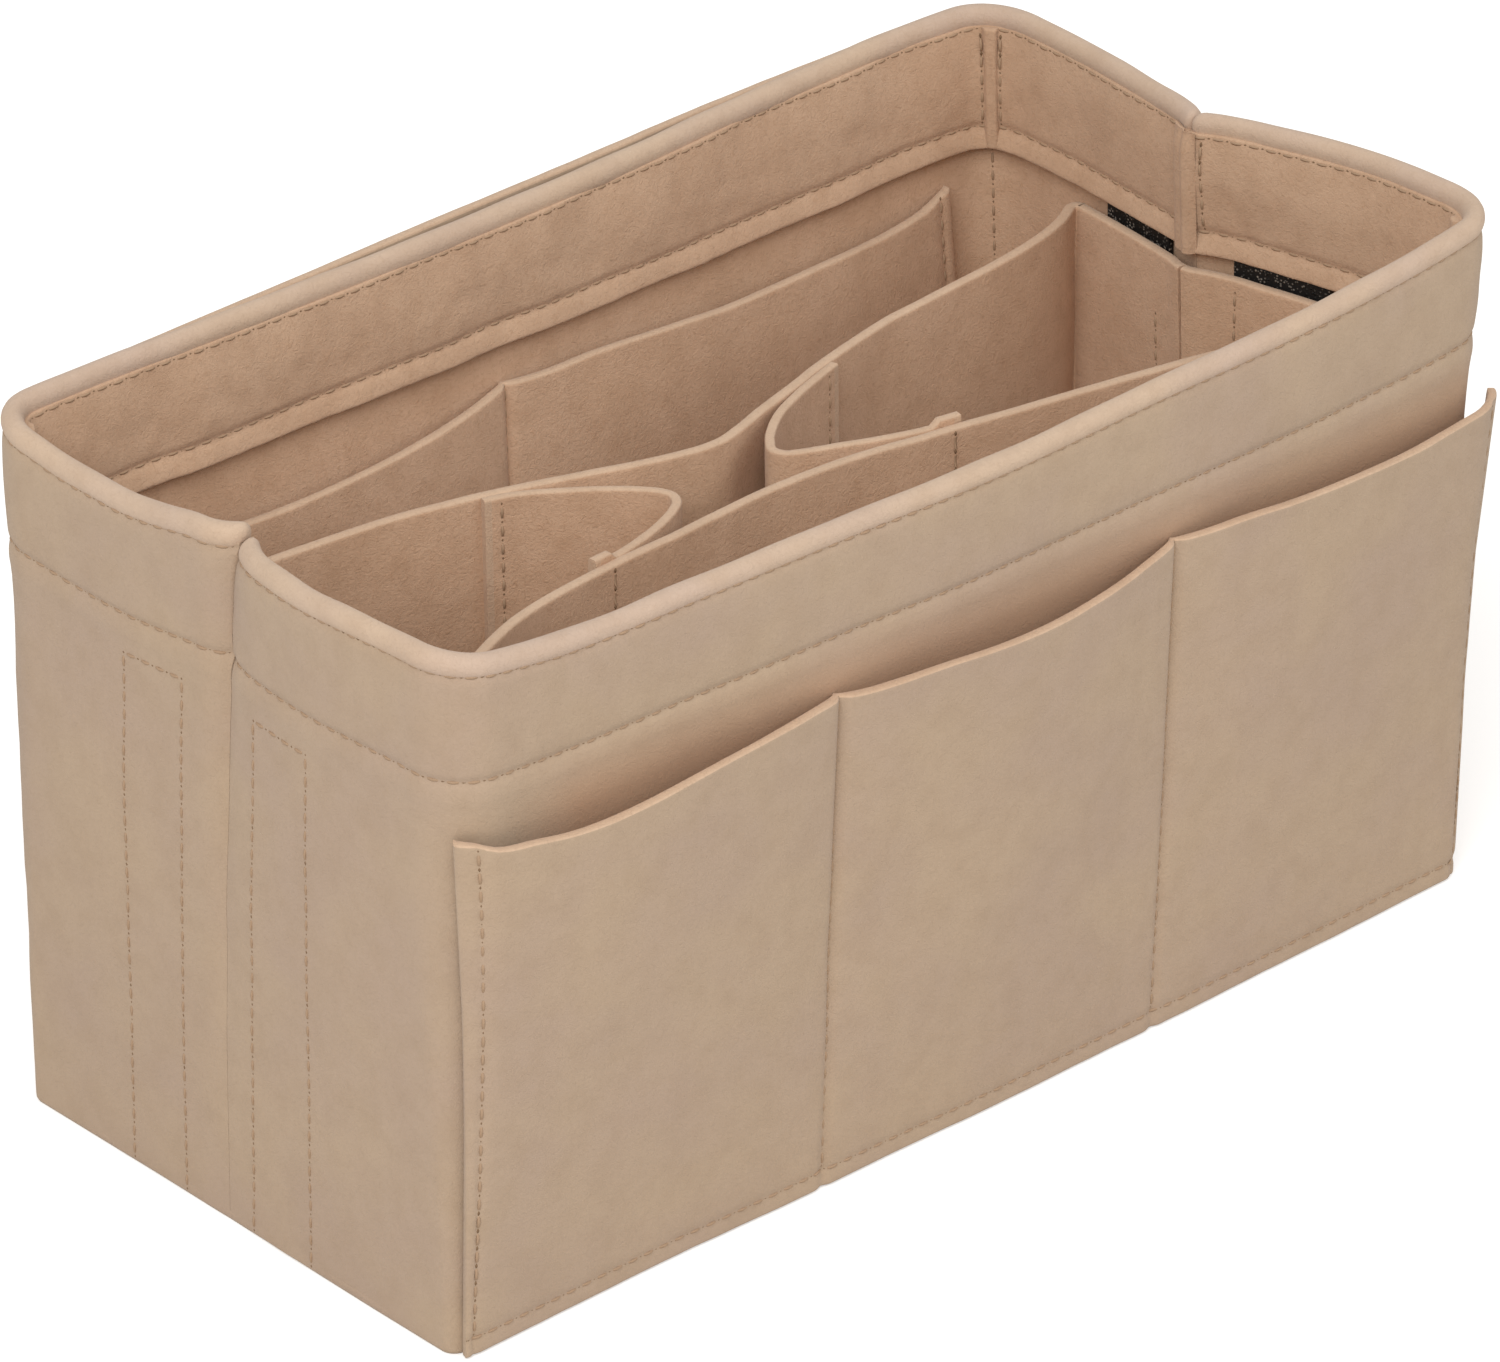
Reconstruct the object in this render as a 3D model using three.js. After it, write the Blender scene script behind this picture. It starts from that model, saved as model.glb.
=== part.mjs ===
import * as THREE from 'three';

// A felt organizer tub for a handbag, with a middle pouch that lifts out.
// All lengths are in millimetres and +Z is up. The tub stands on its base at z = 0,
// its long side runs along X, the side with the outer pockets faces -Y and the
// box of the tub at its base is centred on the origin.

// Felt and tape
const wallFelt = 3;
const facingFelt = 2.2;
const pocketFelt = 2.5;
const pouchFelt = 2.5;
const dividerFelt = 2;
const hookTapeThickness = 2.2;
const loopTapeThickness = 1.3;
const tapeWidth = 25;
const seatGap = 0.3;

// Tub, measured over its outer felt at the base
const tubLength = 312;
const tubWidth = 150;
const tubHeight = 176;
const cornerRadius = 12;
const frontLean = 2.5;
const frontBow = 4;
const backLean = 4;
const backBow = 5;
const frontEndFlare = 7;

// Rolled rim and the facing under it
const rimHeight = 9;
const rimWidth = 6.2;
const rimOutset = 0.6;
const facingDrop = 35;
const seamRidge = 1.4;

// Ends, which fold inwards along a crease in their middle
const foldHalfWidth = 43;
const creaseDepth = 10;
const foldAxisInset = 20;
const foldClearance = 0.4;
const tuckWidth = 6;

// Hook and loop tape, one pair on each half of an end
const tapeStart = 10;
const tapeBottom = 10;
const tapeRise = 2;
const loopInset = 1;

// Outer pocket panel on the front wall, whose top lies below the rim by its drop
const frontPocketDrop = 46;
const frontPocketEndRise = 0;
const frontPocketScoop = 2;
const frontPocketMouth = 6;
const frontPocketCount = 3;
const frontPocketShift = 0;

// Outer pocket panel on the back wall, one wide pocket as high as the rim
const backPocketDrop = 2.5;
const backPocketMouth = 4.6;

// Inner pocket panel on the back wall
const innerPocketDrop = 45;
const innerPocketEndRise = 4;
const innerPocketScoop = 4;
const innerPocketMouth = 6;
const innerPocketCount = 2;
const innerPocketShift = -9.5;

// Middle pouch
const pouchDrop = 38;
const pouchScoop = 1;
const pouchBackPinch = 27;
const pouchBackPinchReach = 55;
const pouchFrontPinch = 30;
const pouchFrontPinchReach = 95;
const pouchFrontPinchOffset = -20;
const leftDividerBackSeam = -54;
const leftDividerFrontSeam = -60;
const leftDividerNose = -24;
const rightDividerBackSeam = 43;
const rightDividerFrontSeam = 46;
const rightDividerNose = 5;
const dividerGap = 0.6;

// Colours of the felt and the tape
const feltColour = 0xbfa487;
const facingColour = 0xb99c7e;
const rimColour = 0xcdb395;
const pouchColour = 0xb39273;
const hookColour = 0x1f1c1a;
const loopColour = 0xa98a6b;

// Sizes that follow from the ones above
const halfLength = tubLength / 2;
const halfWidth = tubWidth / 2;
const straightHalf = halfLength - cornerRadius;
const cornerArc = cornerRadius * Math.PI / 2;
const returnLength = halfWidth - cornerRadius - foldHalfWidth - seatGap / 2;
const shellHalf = straightHalf + cornerArc + returnLength;
const floorTop = wallFelt + seatGap;
const rimFoot = tubHeight - rimHeight;
const facingBottom = tubHeight - facingDrop;
const pouchTop = tubHeight - pouchDrop;
const facingOuter = wallFelt + seatGap;
const facingInner = facingOuter + facingFelt;
const hookOuter = wallFelt + seatGap;
const hookInner = hookOuter + hookTapeThickness;
const loopOuter = Math.max(hookInner, facingInner) + seatGap;
const loopInner = loopOuter + loopTapeThickness;
const flapOuter = loopInner + seatGap;
const flapInner = flapOuter + pouchFelt;
const ridgeOuter = facingInner + seatGap;
const ridgeInner = ridgeOuter + Math.min(seamRidge, flapOuter - seatGap - ridgeOuter);
const pouchHalfLength = halfLength - flapOuter;
const pouchFreeHalf = pouchHalfLength - pouchFelt - seatGap;
const pouchInnerHalf = foldHalfWidth + seatGap;
const foldAxisX = halfLength - foldAxisInset;

// Number of steps along each stretch
const longSteps = 18;
const arcSteps = 5;
const returnSteps = 2;
const cornerSteps = 3;
const heightSteps = 3;
const halfSteps = 8;
const pocketSteps = 14;
const pouchSteps = 40;
const dividerSteps = 32;
const ridgeSteps = 4;
const rimSteps = 10;

// Shares that shape the soft forms
const cornerEndShare = 0.5;
const flareStartShare = 0.6;
const ridgeArcShare = 0.3;
const mouthRiseShare = 0.7;
const mouthRoundShare = 0.6;
const scoopPower = 2.6;
const pinchPower = 2;
const pinchEndPower = 6;
const nosePower = 1.2;
const rimFootShare = 0.28;

const lerp = THREE.MathUtils.lerp;
const smoothstep = THREE.MathUtils.smoothstep;

// Signed volume of a closed triangle mesh: positive when its faces point out
function signedVolume(points, triangles) {
  let volume = 0;
  for (const [a, b, c] of triangles) {
    const [p, q, r] = [points[a], points[b], points[c]];
    volume += p[0] * (q[1] * r[2] - q[2] * r[1]);
    volume += p[1] * (q[2] * r[0] - q[0] * r[2]);
    volume += p[2] * (q[0] * r[1] - q[1] * r[0]);
  }
  return volume / 6;
}

// A closed mesh from points and triangles, turned so that its faces point out
function closedGeometry(points, triangles) {
  const inverted = signedVolume(points, triangles) < 0;
  const index = triangles.flatMap(([a, b, c]) => (inverted ? [a, c, b] : [a, b, c]));
  const geometry = new THREE.BufferGeometry();
  geometry.setAttribute('position', new THREE.Float32BufferAttribute(points.flat(), 3));
  geometry.setIndex(index);
  geometry.computeVertexNormals();
  return geometry;
}

// A felt sheet: face(column, row, side) gives matching points of its two faces,
// side 0 and side 1, and the cut edges join them
function sheetGeometry(columns, rows, face) {
  const points = [];
  for (const side of [0, 1]) {
    for (let row = 0; row <= rows; row += 1) {
      for (let column = 0; column <= columns; column += 1) points.push(face(column, row, side));
    }
  }
  const perFace = (columns + 1) * (rows + 1);
  const at = (column, row, side) => side * perFace + row * (columns + 1) + column;
  const triangles = [];
  const quad = (a, b, c, d) => triangles.push([a, b, c], [a, c, d]);
  for (let row = 0; row < rows; row += 1) {
    for (let column = 0; column < columns; column += 1) {
      quad(at(column, row, 0), at(column + 1, row, 0), at(column + 1, row + 1, 0), at(column, row + 1, 0));
      quad(at(column, row, 1), at(column, row + 1, 1), at(column + 1, row + 1, 1), at(column + 1, row, 1));
    }
  }
  for (let column = 0; column < columns; column += 1) {
    quad(at(column, 0, 0), at(column, 0, 1), at(column + 1, 0, 1), at(column + 1, 0, 0));
    quad(at(column, rows, 0), at(column + 1, rows, 0), at(column + 1, rows, 1), at(column, rows, 1));
  }
  for (let row = 0; row < rows; row += 1) {
    quad(at(0, row, 0), at(0, row + 1, 0), at(0, row + 1, 1), at(0, row, 1));
    quad(at(columns, row, 0), at(columns, row, 1), at(columns, row + 1, 1), at(columns, row + 1, 0));
  }
  return closedGeometry(points, triangles);
}

// A profile carried along a path: section(step) gives the ring of points at each step
function carriedGeometry(steps, ringSize, section) {
  const points = [];
  for (let step = 0; step <= steps; step += 1) points.push(...section(step));
  const triangles = [];
  for (let step = 0; step < steps; step += 1) {
    for (let k = 0; k < ringSize; k += 1) {
      const next = (k + 1) % ringSize;
      const a = step * ringSize + k;
      const b = step * ringSize + next;
      triangles.push([a, a + ringSize, b + ringSize], [a, b + ringSize, b]);
    }
  }
  const last = steps * ringSize;
  for (let k = 1; k < ringSize - 1; k += 1) {
    triangles.push([0, k, k + 1]);
    triangles.push([last, last + k + 1, last + k]);
  }
  return closedGeometry(points, triangles);
}

const organizer = new THREE.Group();

function addPiece(group, name, geometry, colour, roughness = 0.95) {
  const material = new THREE.MeshStandardMaterial({ color: colour, roughness, metalness: 0 });
  const mesh = new THREE.Mesh(geometry, material);
  mesh.name = name;
  group.add(mesh);
}

// Outer face of a long wall at the base, with its rounded corners and its returns to
// the fold lines, at a distance measured along the felt from the wall's middle
function shellStation(side, distance) {
  const sign = Math.sign(distance) || 1;
  const run = Math.abs(distance);
  if (run <= straightHalf) return { x: distance, y: side * halfWidth, nx: 0, ny: side };
  if (run <= straightHalf + cornerArc) {
    const angle = (run - straightHalf) / cornerRadius;
    const x = straightHalf + cornerRadius * Math.sin(angle);
    const y = halfWidth - cornerRadius + cornerRadius * Math.cos(angle);
    return { x: sign * x, y: side * y, nx: sign * Math.sin(angle), ny: side * Math.cos(angle) };
  }
  const y = halfWidth - cornerRadius - (run - straightHalf - cornerArc);
  return { x: sign * halfLength, y: side * y, nx: sign, ny: 0 };
}

// The long walls lean and bow outwards towards the rim, and not at all at the fold lines
function flare(side, x, y, z) {
  const lean = side < 0 ? frontLean : backLean;
  const bow = side < 0 ? frontBow : backBow;
  const weight = smoothstep(Math.abs(y), foldHalfWidth, halfWidth);
  return side * (lean + bow * (1 - (x / halfLength) ** 2)) * weight * z / tubHeight;
}

// The front half of each end stands out towards the rim, more and more away from its crease
function endFlare(side, y, z) {
  const weight = smoothstep(Math.abs(y), 0, halfWidth - cornerRadius);
  return side < 0 ? frontEndFlare * weight * z / tubHeight : 0;
}

// The long walls grow longer with it at their ends
function lengthFlare(side, x, y, z) {
  const weight = smoothstep(Math.abs(x), straightHalf * flareStartShare, straightHalf);
  return Math.sign(x) * endFlare(side, y, z) * weight;
}

// A point at a depth inside the outer face of a long wall
function shellPoint(side, distance, depth, z) {
  const station = shellStation(side, distance);
  const x = station.x + lengthFlare(side, station.x, station.y, z);
  const y = station.y + flare(side, station.x, station.y, z);
  return [x - station.nx * depth, y - station.ny * depth, z];
}

// Distances along a long wall from fold line to fold line
function shellDistances() {
  const stops = [[returnLength, returnSteps], [cornerArc, arcSteps], [2 * straightHalf, longSteps],
    [cornerArc, arcSteps], [returnLength, returnSteps]];
  const distances = [-shellHalf];
  for (const [length, steps] of stops) {
    const start = distances.at(-1);
    for (let step = 1; step <= steps; step += 1) distances.push(start + length * step / steps);
  }
  return distances;
}

const alongShell = shellDistances();

function shellSheet(side, outer, inner, low, high) {
  const depths = [outer, inner];
  return sheetGeometry(alongShell.length - 1, heightSteps, (column, row, face) =>
    shellPoint(side, alongShell[column], depths[face], lerp(low, high, row / heightSteps)));
}

// Outer face of one half of an end wall: it leaves the fold line square to the end and
// curves in to the crease as the square of the distance
function creaseSlope(y) {
  return 2 * creaseDepth * (foldHalfWidth - y) / foldHalfWidth ** 2;
}

function endX(y, depth) {
  const inset = creaseDepth * ((foldHalfWidth - y) / foldHalfWidth) ** 2;
  return halfLength - inset - depth * Math.hypot(1, creaseSlope(y));
}

// Half the gap at the crease for the layer at a depth, so that the two halves turn
// about their fold axes without meeting
function creaseGap(depth) {
  const arm = endX(0, depth) - foldAxisX;
  return foldHalfWidth - Math.sqrt((foldHalfWidth - foldClearance) ** 2 - arm ** 2);
}

function endPoint(end, side, share, depth, z) {
  const y = lerp(foldHalfWidth - seatGap / 2, creaseGap(depth), share);
  return [end * (endX(y, depth) + endFlare(side, y, z)), side * y, z];
}

function endSheet(end, side, outer, inner, low, high) {
  const depths = [outer, inner];
  return sheetGeometry(halfSteps, 1, (column, row, face) =>
    endPoint(end, side, column / halfSteps, depths[face], row === 0 ? low : high));
}

function tapeSheet(end, side, outer, inner, inset) {
  const depths = [outer, inner];
  const near = tapeStart + inset;
  const far = tapeStart + tapeWidth - inset;
  const low = tapeBottom + inset;
  const high = inset === 0 ? pouchTop + tapeRise : pouchTop - inset;
  return sheetGeometry(halfSteps, 1, (column, row, face) => {
    const y = lerp(far, near, column / halfSteps);
    const z = row === 0 ? low : high;
    return [end * (endX(y, depths[face]) + endFlare(side, y, z)), side * y, z];
  });
}

// Section of the rolled rim: an oval that stands on the wall and the facing with a
// narrower foot, as [depth inside the outer face, height]
function rimSection() {
  const foot = rimFoot + seatGap;
  const footAngle = rimFootShare * Math.PI;
  const halfHeight = (tubHeight - foot) / (1 + Math.sin(footAngle));
  const middle = tubHeight - halfHeight;
  const section = [];
  for (let step = 0; step <= rimSteps; step += 1) {
    const angle = lerp(-footAngle, Math.PI + footAngle, step / rimSteps);
    const depth = rimWidth / 2 - rimOutset - Math.cos(angle) * rimWidth / 2;
    section.push([depth, middle + halfHeight * Math.sin(angle)]);
  }
  return section;
}

const rimProfile = rimSection();

function shellRim(side) {
  return carriedGeometry(alongShell.length - 1, rimProfile.length, (step) =>
    rimProfile.map(([depth, z]) => shellPoint(side, alongShell[step], depth, z)));
}

function endRim(end, side) {
  return carriedGeometry(halfSteps, rimProfile.length, (step) =>
    rimProfile.map(([depth, z]) => endPoint(end, side, step / halfSteps, depth, z)));
}

// Base panel: the outline of the walls, with the shallow notch that each crease draws in
function basePanel() {
  const outline = [];
  for (const side of [-1, 1]) {
    const run = side < 0 ? alongShell : [...alongShell].reverse();
    for (const distance of run) {
      const station = shellStation(side, distance);
      outline.push(new THREE.Vector2(station.x, station.y));
    }
    for (let column = 1; column < 2 * halfSteps; column += 1) {
      const y = side * lerp(foldHalfWidth, -foldHalfWidth, column / (2 * halfSteps));
      outline.push(new THREE.Vector2(-side * endX(Math.abs(y), 0), y));
    }
  }
  const shape = new THREE.Shape(outline);
  return new THREE.ExtrudeGeometry(shape, { depth: wallFelt, bevelEnabled: false, steps: 1 });
}

// How far a pocket stands open, from 0 at its seams to 1 in its middle, and how far its
// mouth is scooped out
const openShare = (share) => Math.sin(Math.PI * share) ** mouthRoundShare;
const scoopShare = (share) => 1 - Math.abs(2 * share - 1) ** scoopPower;

// Seams of a row of pockets and the distances across it. The front row ends halfway round
// the corners and the others end where the corners begin
const cornerHalf = straightHalf + cornerArc * cornerEndShare;

function panelSeams(pocket) {
  const seams = [-pocket.half];
  for (let seam = 1; seam < pocket.count; seam += 1) {
    seams.push(lerp(-pocket.half, pocket.half, seam / pocket.count) + pocket.shift);
  }
  return [...seams, pocket.half];
}

function panelDistances(seams, half) {
  const distances = [];
  const roundSteps = half > straightHalf ? cornerSteps : 0;
  for (let step = 0; step < roundSteps; step += 1) {
    distances.push(lerp(-half, -straightHalf, step / roundSteps));
  }
  for (let pocket = 0; pocket < seams.length - 1; pocket += 1) {
    const start = Math.max(seams[pocket], -straightHalf);
    const end = Math.min(seams[pocket + 1], straightHalf);
    for (let step = 0; step < pocketSteps; step += 1) {
      distances.push(lerp(start, end, step / pocketSteps));
    }
  }
  for (let step = 0; step < roundSteps; step += 1) {
    distances.push(lerp(straightHalf, half, step / roundSteps));
  }
  return [...distances, half];
}

// A sheet sewn to a long wall in a row of pockets, outside or inside the wall
function pocketPanel(side, pocket) {
  const seams = panelSeams(pocket);
  const distances = panelDistances(seams, pocket.half);
  const rows = heightSteps * 2;
  return sheetGeometry(distances.length - 1, rows, (column, row, face) => {
    const distance = distances[column];
    const inside = distance < pocket.half;
    const next = inside ? seams.findIndex((seam) => seam > distance) : pocket.count;
    const share = THREE.MathUtils.inverseLerp(seams[next - 1], seams[next], distance);
    const rise = row / rows;
    const ends = pocket.endRise * (distance / pocket.half) ** 2;
    const high = pocket.top + ends - pocket.scoop * scoopShare(share);
    const z = lerp(floorTop, high, rise);
    const stand = pocket.mouth * openShare(share) * rise ** mouthRiseShare;
    const pastRim = rimOutset * smoothstep(z, facingBottom, rimFoot);
    const away = seatGap + stand + pastRim + face * pocketFelt;
    const depth = pocket.outside ? -away : wallFelt + away;
    return shellPoint(side, distance, depth, z);
  });
}

// Raised seam inside a corner of the facing
function cornerSeam(end, side) {
  const depths = [ridgeOuter, ridgeInner];
  const middle = straightHalf + cornerArc / 2;
  const reach = cornerArc * ridgeArcShare;
  return sheetGeometry(ridgeSteps, 1, (column, row, face) => {
    const distance = end * lerp(middle - reach, middle + reach, column / ridgeSteps);
    return shellPoint(side, distance, depths[face], row === 0 ? facingBottom : rimFoot);
  });
}

// Pin tuck that covers the crease inside the facing
function creaseTuck(end) {
  const depths = [ridgeOuter, ridgeInner];
  return sheetGeometry(ridgeSteps, 1, (column, row, face) => {
    const y = lerp(-tuckWidth / 2, tuckWidth / 2, column / ridgeSteps);
    const z = row === 0 ? facingBottom : rimFoot;
    return [end * (endX(Math.abs(y), depths[face]) + endFlare(Math.sign(y), y, z)), y, z];
  });
}

// Inner faces of the pouch's long walls: straight at the end flaps and drawn in towards
// each other between the dividers
function pinch(x, depth, reach, offset) {
  const middle = 1 / (1 + Math.abs((x - offset) / reach) ** pinchPower);
  const toEnd = Math.min(Math.abs(x) / pouchFreeHalf, 1);
  return depth * middle * (1 - toEnd ** pinchEndPower);
}

function pouchY(side, x) {
  if (side > 0) return pouchInnerHalf - pinch(x, pouchBackPinch, pouchBackPinchReach, 0);
  return -pouchInnerHalf + pinch(x, pouchFrontPinch, pouchFrontPinchReach, pouchFrontPinchOffset);
}

function pouchSlope(side, x) {
  const step = seatGap;
  const before = Math.max(x - step, -pouchHalfLength);
  const after = Math.min(x + step, pouchHalfLength);
  return (pouchY(side, after) - pouchY(side, before)) / (after - before);
}

// Places along a long wall of the pouch: its free stretch between the end flaps in even
// steps, and one step across each flap
function pouchX(column) {
  if (column === 0) return -pouchHalfLength;
  if (column === pouchSteps) return pouchHalfLength;
  return lerp(-pouchFreeHalf, pouchFreeHalf, (column - 1) / (pouchSteps - 2));
}

function pouchWall(side) {
  return sheetGeometry(pouchSteps, 1, (column, row, face) => {
    const x = pouchX(column);
    const share = (x / pouchHalfLength + 1) / 2;
    const thickness = face * pouchFelt * Math.hypot(1, pouchSlope(side, x));
    const z = row === 0 ? floorTop : pouchTop - pouchScoop * scoopShare(share);
    const reach = lengthFlare(side, x, side * foldHalfWidth, z);
    return [x + reach, pouchY(side, x) + side * thickness, z];
  });
}

// A divider leaves the back wall along it, bends round its nose and comes to the front
// wall along that: its middle line is a mix of the two walls as its share goes from 0 to 1
function dividerLine(divider, share) {
  const seamX = lerp(divider.backSeam, divider.frontSeam, share);
  const x = seamX + (divider.nose - seamX) * Math.sin(Math.PI * share) ** nosePower;
  const back = pouchY(1, x) - (dividerGap + dividerFelt / 2) * Math.hypot(1, pouchSlope(1, x));
  const front = pouchY(-1, x) + (dividerGap + dividerFelt / 2) * Math.hypot(1, pouchSlope(-1, x));
  return new THREE.Vector2(x, lerp(back, front, smoothstep(share, 0, 1)));
}

function dividerSheet(divider) {
  const line = [];
  for (let step = 0; step <= dividerSteps; step += 1) line.push(dividerLine(divider, step / dividerSteps));
  return sheetGeometry(dividerSteps, 1, (column, row, face) => {
    const before = line[Math.max(column - 1, 0)];
    const after = line[Math.min(column + 1, dividerSteps)];
    const along = after.clone().sub(before).normalize();
    const offset = (face - 0.5) * dividerFelt;
    const x = line[column].x - along.y * offset;
    const y = line[column].y + along.x * offset;
    return [x, y, row === 0 ? floorTop : pouchTop - pouchScoop];
  });
}

// Tub
const tub = new THREE.Group();
organizer.add(tub);
const wallBand = [floorTop, rimFoot];
const facingBand = [facingBottom, rimFoot];
const sides = [['front', -1], ['back', 1]];
const ends = [['left', -1], ['right', 1]];

addPiece(tub, 'base_panel', basePanel(), feltColour);
for (const [sideName, side] of sides) {
  addPiece(tub, `${sideName}_wall`, shellSheet(side, 0, wallFelt, ...wallBand), feltColour);
  const facing = shellSheet(side, facingOuter, facingInner, ...facingBand);
  addPiece(tub, `${sideName}_facing`, facing, facingColour);
  addPiece(tub, `${sideName}_rim`, shellRim(side), rimColour);
  for (const [endName, end] of ends) {
    addPiece(tub, `${endName}_${sideName}_corner_seam`, cornerSeam(end, side), facingColour);
  }
}

const frontPockets = {
  count: frontPocketCount,
  shift: frontPocketShift,
  half: cornerHalf,
  top: tubHeight - frontPocketDrop,
  endRise: frontPocketEndRise,
  scoop: frontPocketScoop,
  mouth: frontPocketMouth,
  outside: true,
};
const backPockets = {
  count: 1,
  shift: 0,
  half: straightHalf,
  top: tubHeight - backPocketDrop,
  endRise: 0,
  scoop: 0,
  mouth: backPocketMouth,
  outside: true,
};
const innerPockets = {
  count: innerPocketCount,
  shift: innerPocketShift,
  half: straightHalf,
  top: tubHeight - innerPocketDrop,
  endRise: innerPocketEndRise,
  scoop: innerPocketScoop,
  mouth: innerPocketMouth,
  outside: false,
};
addPiece(tub, 'front_pocket_panel', pocketPanel(-1, frontPockets), feltColour);
addPiece(tub, 'back_pocket_panel', pocketPanel(1, backPockets), feltColour);
addPiece(tub, 'inner_pocket_panel', pocketPanel(1, innerPockets), pouchColour);

// Folding ends
for (const [endName, end] of ends) {
  for (const [sideName, side] of sides) {
    const name = `${endName}_${sideName}`;
    const half = new THREE.Group();
    organizer.add(half);
    addPiece(half, `${name}_end_wall`, endSheet(end, side, 0, wallFelt, ...wallBand), feltColour);
    const facing = endSheet(end, side, facingOuter, facingInner, ...facingBand);
    addPiece(half, `${name}_end_facing`, facing, facingColour);
    addPiece(half, `${name}_end_rim`, endRim(end, side), rimColour);
    const hook = tapeSheet(end, side, hookOuter, hookInner, 0);
    addPiece(half, `${name}_hook_strip`, hook, hookColour, 0.8);
  }
  addPiece(organizer, `${endName}_crease_tuck`, creaseTuck(end), facingColour);
}

// Middle pouch
const dividers = {
  left: { backSeam: leftDividerBackSeam, frontSeam: leftDividerFrontSeam, nose: leftDividerNose },
  right: { backSeam: rightDividerBackSeam, frontSeam: rightDividerFrontSeam, nose: rightDividerNose },
};
const pouch = new THREE.Group();
organizer.add(pouch);
for (const [sideName, side] of sides) {
  addPiece(pouch, `pouch_${sideName}_wall`, pouchWall(side), pouchColour);
}
for (const [endName, end] of ends) {
  addPiece(pouch, `pouch_${endName}_divider`, dividerSheet(dividers[endName]), pouchColour);
  for (const [sideName, side] of sides) {
    const name = `pouch_${endName}_${sideName}`;
    const flap = endSheet(end, side, flapOuter, flapInner, floorTop, pouchTop);
    addPiece(pouch, `${name}_flap`, flap, pouchColour);
    const loop = tapeSheet(end, side, loopOuter, loopInner, loopInset);
    addPiece(pouch, `${name}_loop_strip`, loop, loopColour);
  }
}

export default organizer;
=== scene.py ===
import math

import bpy
import numpy as np
from mathutils import Matrix, Vector


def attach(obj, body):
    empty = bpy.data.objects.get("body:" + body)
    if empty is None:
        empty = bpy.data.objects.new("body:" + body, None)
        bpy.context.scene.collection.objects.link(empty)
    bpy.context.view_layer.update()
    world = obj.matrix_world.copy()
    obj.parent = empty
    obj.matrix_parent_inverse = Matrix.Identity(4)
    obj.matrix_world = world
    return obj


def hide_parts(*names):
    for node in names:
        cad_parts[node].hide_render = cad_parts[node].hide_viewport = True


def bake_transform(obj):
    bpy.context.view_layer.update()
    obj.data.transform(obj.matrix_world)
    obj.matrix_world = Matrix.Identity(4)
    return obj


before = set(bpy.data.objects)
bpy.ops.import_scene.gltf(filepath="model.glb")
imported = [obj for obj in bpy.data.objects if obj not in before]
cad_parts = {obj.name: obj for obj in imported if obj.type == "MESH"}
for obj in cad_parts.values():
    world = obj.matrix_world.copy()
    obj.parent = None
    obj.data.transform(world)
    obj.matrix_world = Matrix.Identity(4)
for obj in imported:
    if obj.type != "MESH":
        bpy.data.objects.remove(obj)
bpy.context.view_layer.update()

# The photograph's frame is taken as 1500 by 1362, with the camera far away on a long lens
cameraView = {
    "place": (-1.22035, -1.32904, 1.07695),
    "forward": (0.59162203, 0.64516617, -0.48347078),
    "up": (0.33447406, 0.3492212, 0.87531232),
    "lens": 216.0,
    "sensor": 36.0,
}


def addObject(name, data):
    obj = bpy.data.objects.new(name, data)
    bpy.context.scene.collection.objects.link(obj)
    return obj


def addCamera(view):
    data = bpy.data.cameras.new("studioCamera")
    data.lens = view["lens"]
    data.sensor_fit = "HORIZONTAL"
    data.sensor_width = view["sensor"]
    data.clip_end = 50
    camera = addObject("studioCamera", data)
    back = -Vector(view["forward"])
    up = Vector(view["up"])
    right = up.cross(back).normalized()
    turn = Matrix((right, back.cross(right), back)).transposed().to_4x4()
    camera.matrix_world = Matrix.Translation(Vector(view["place"])) @ turn
    bpy.context.scene.camera = camera


addCamera(cameraView)
print("camera set")


def linear(hexColour):
    # sRGB hex to linear light
    value = hexColour.lstrip("#")
    parts = [int(value[k:k + 2], 16) / 255 for k in (0, 2, 4)]
    return [p / 12.92 if p <= 0.04045 else ((p + 0.055) / 1.055) ** 2.4 for p in parts] + [1.0]


def addNode(tree, kind, settings=None, links=None):
    # settings: attribute, input name or input number to value; links: input to output socket
    node = tree.nodes.new(kind)
    for key, value in (settings or {}).items():
        if isinstance(key, str) and hasattr(node, key):
            setattr(node, key, value)
        else:
            node.inputs[key].default_value = value
    for key, socket in (links or {}).items():
        tree.links.new(socket, node.inputs[key])
    return node


def newMaterial(name):
    material = bpy.data.materials.new(name)
    material.use_nodes = True
    material.node_tree.nodes.clear()
    return material, material.node_tree


# Studio: pale floor, one big soft key, a soft fill and an even pale room
studio = {
    "floorColour": "#E9E7E4",
    "floorGlow": 0.42,  # lifts the paper to white for the camera alone
    "floorHalf": 6.0,
    "roomColour": "#F4F4F4",
    "roomStrength": 0.64,
    "key": {"place": (-1.62, -1.08, 2.0), "size": 1.9, "watts": 44},
    "fill": {"place": (1.0, -2.2, 1.9), "size": 2.2, "watts": 16},
    "aim": (0, 0, 0.08),
}


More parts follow.
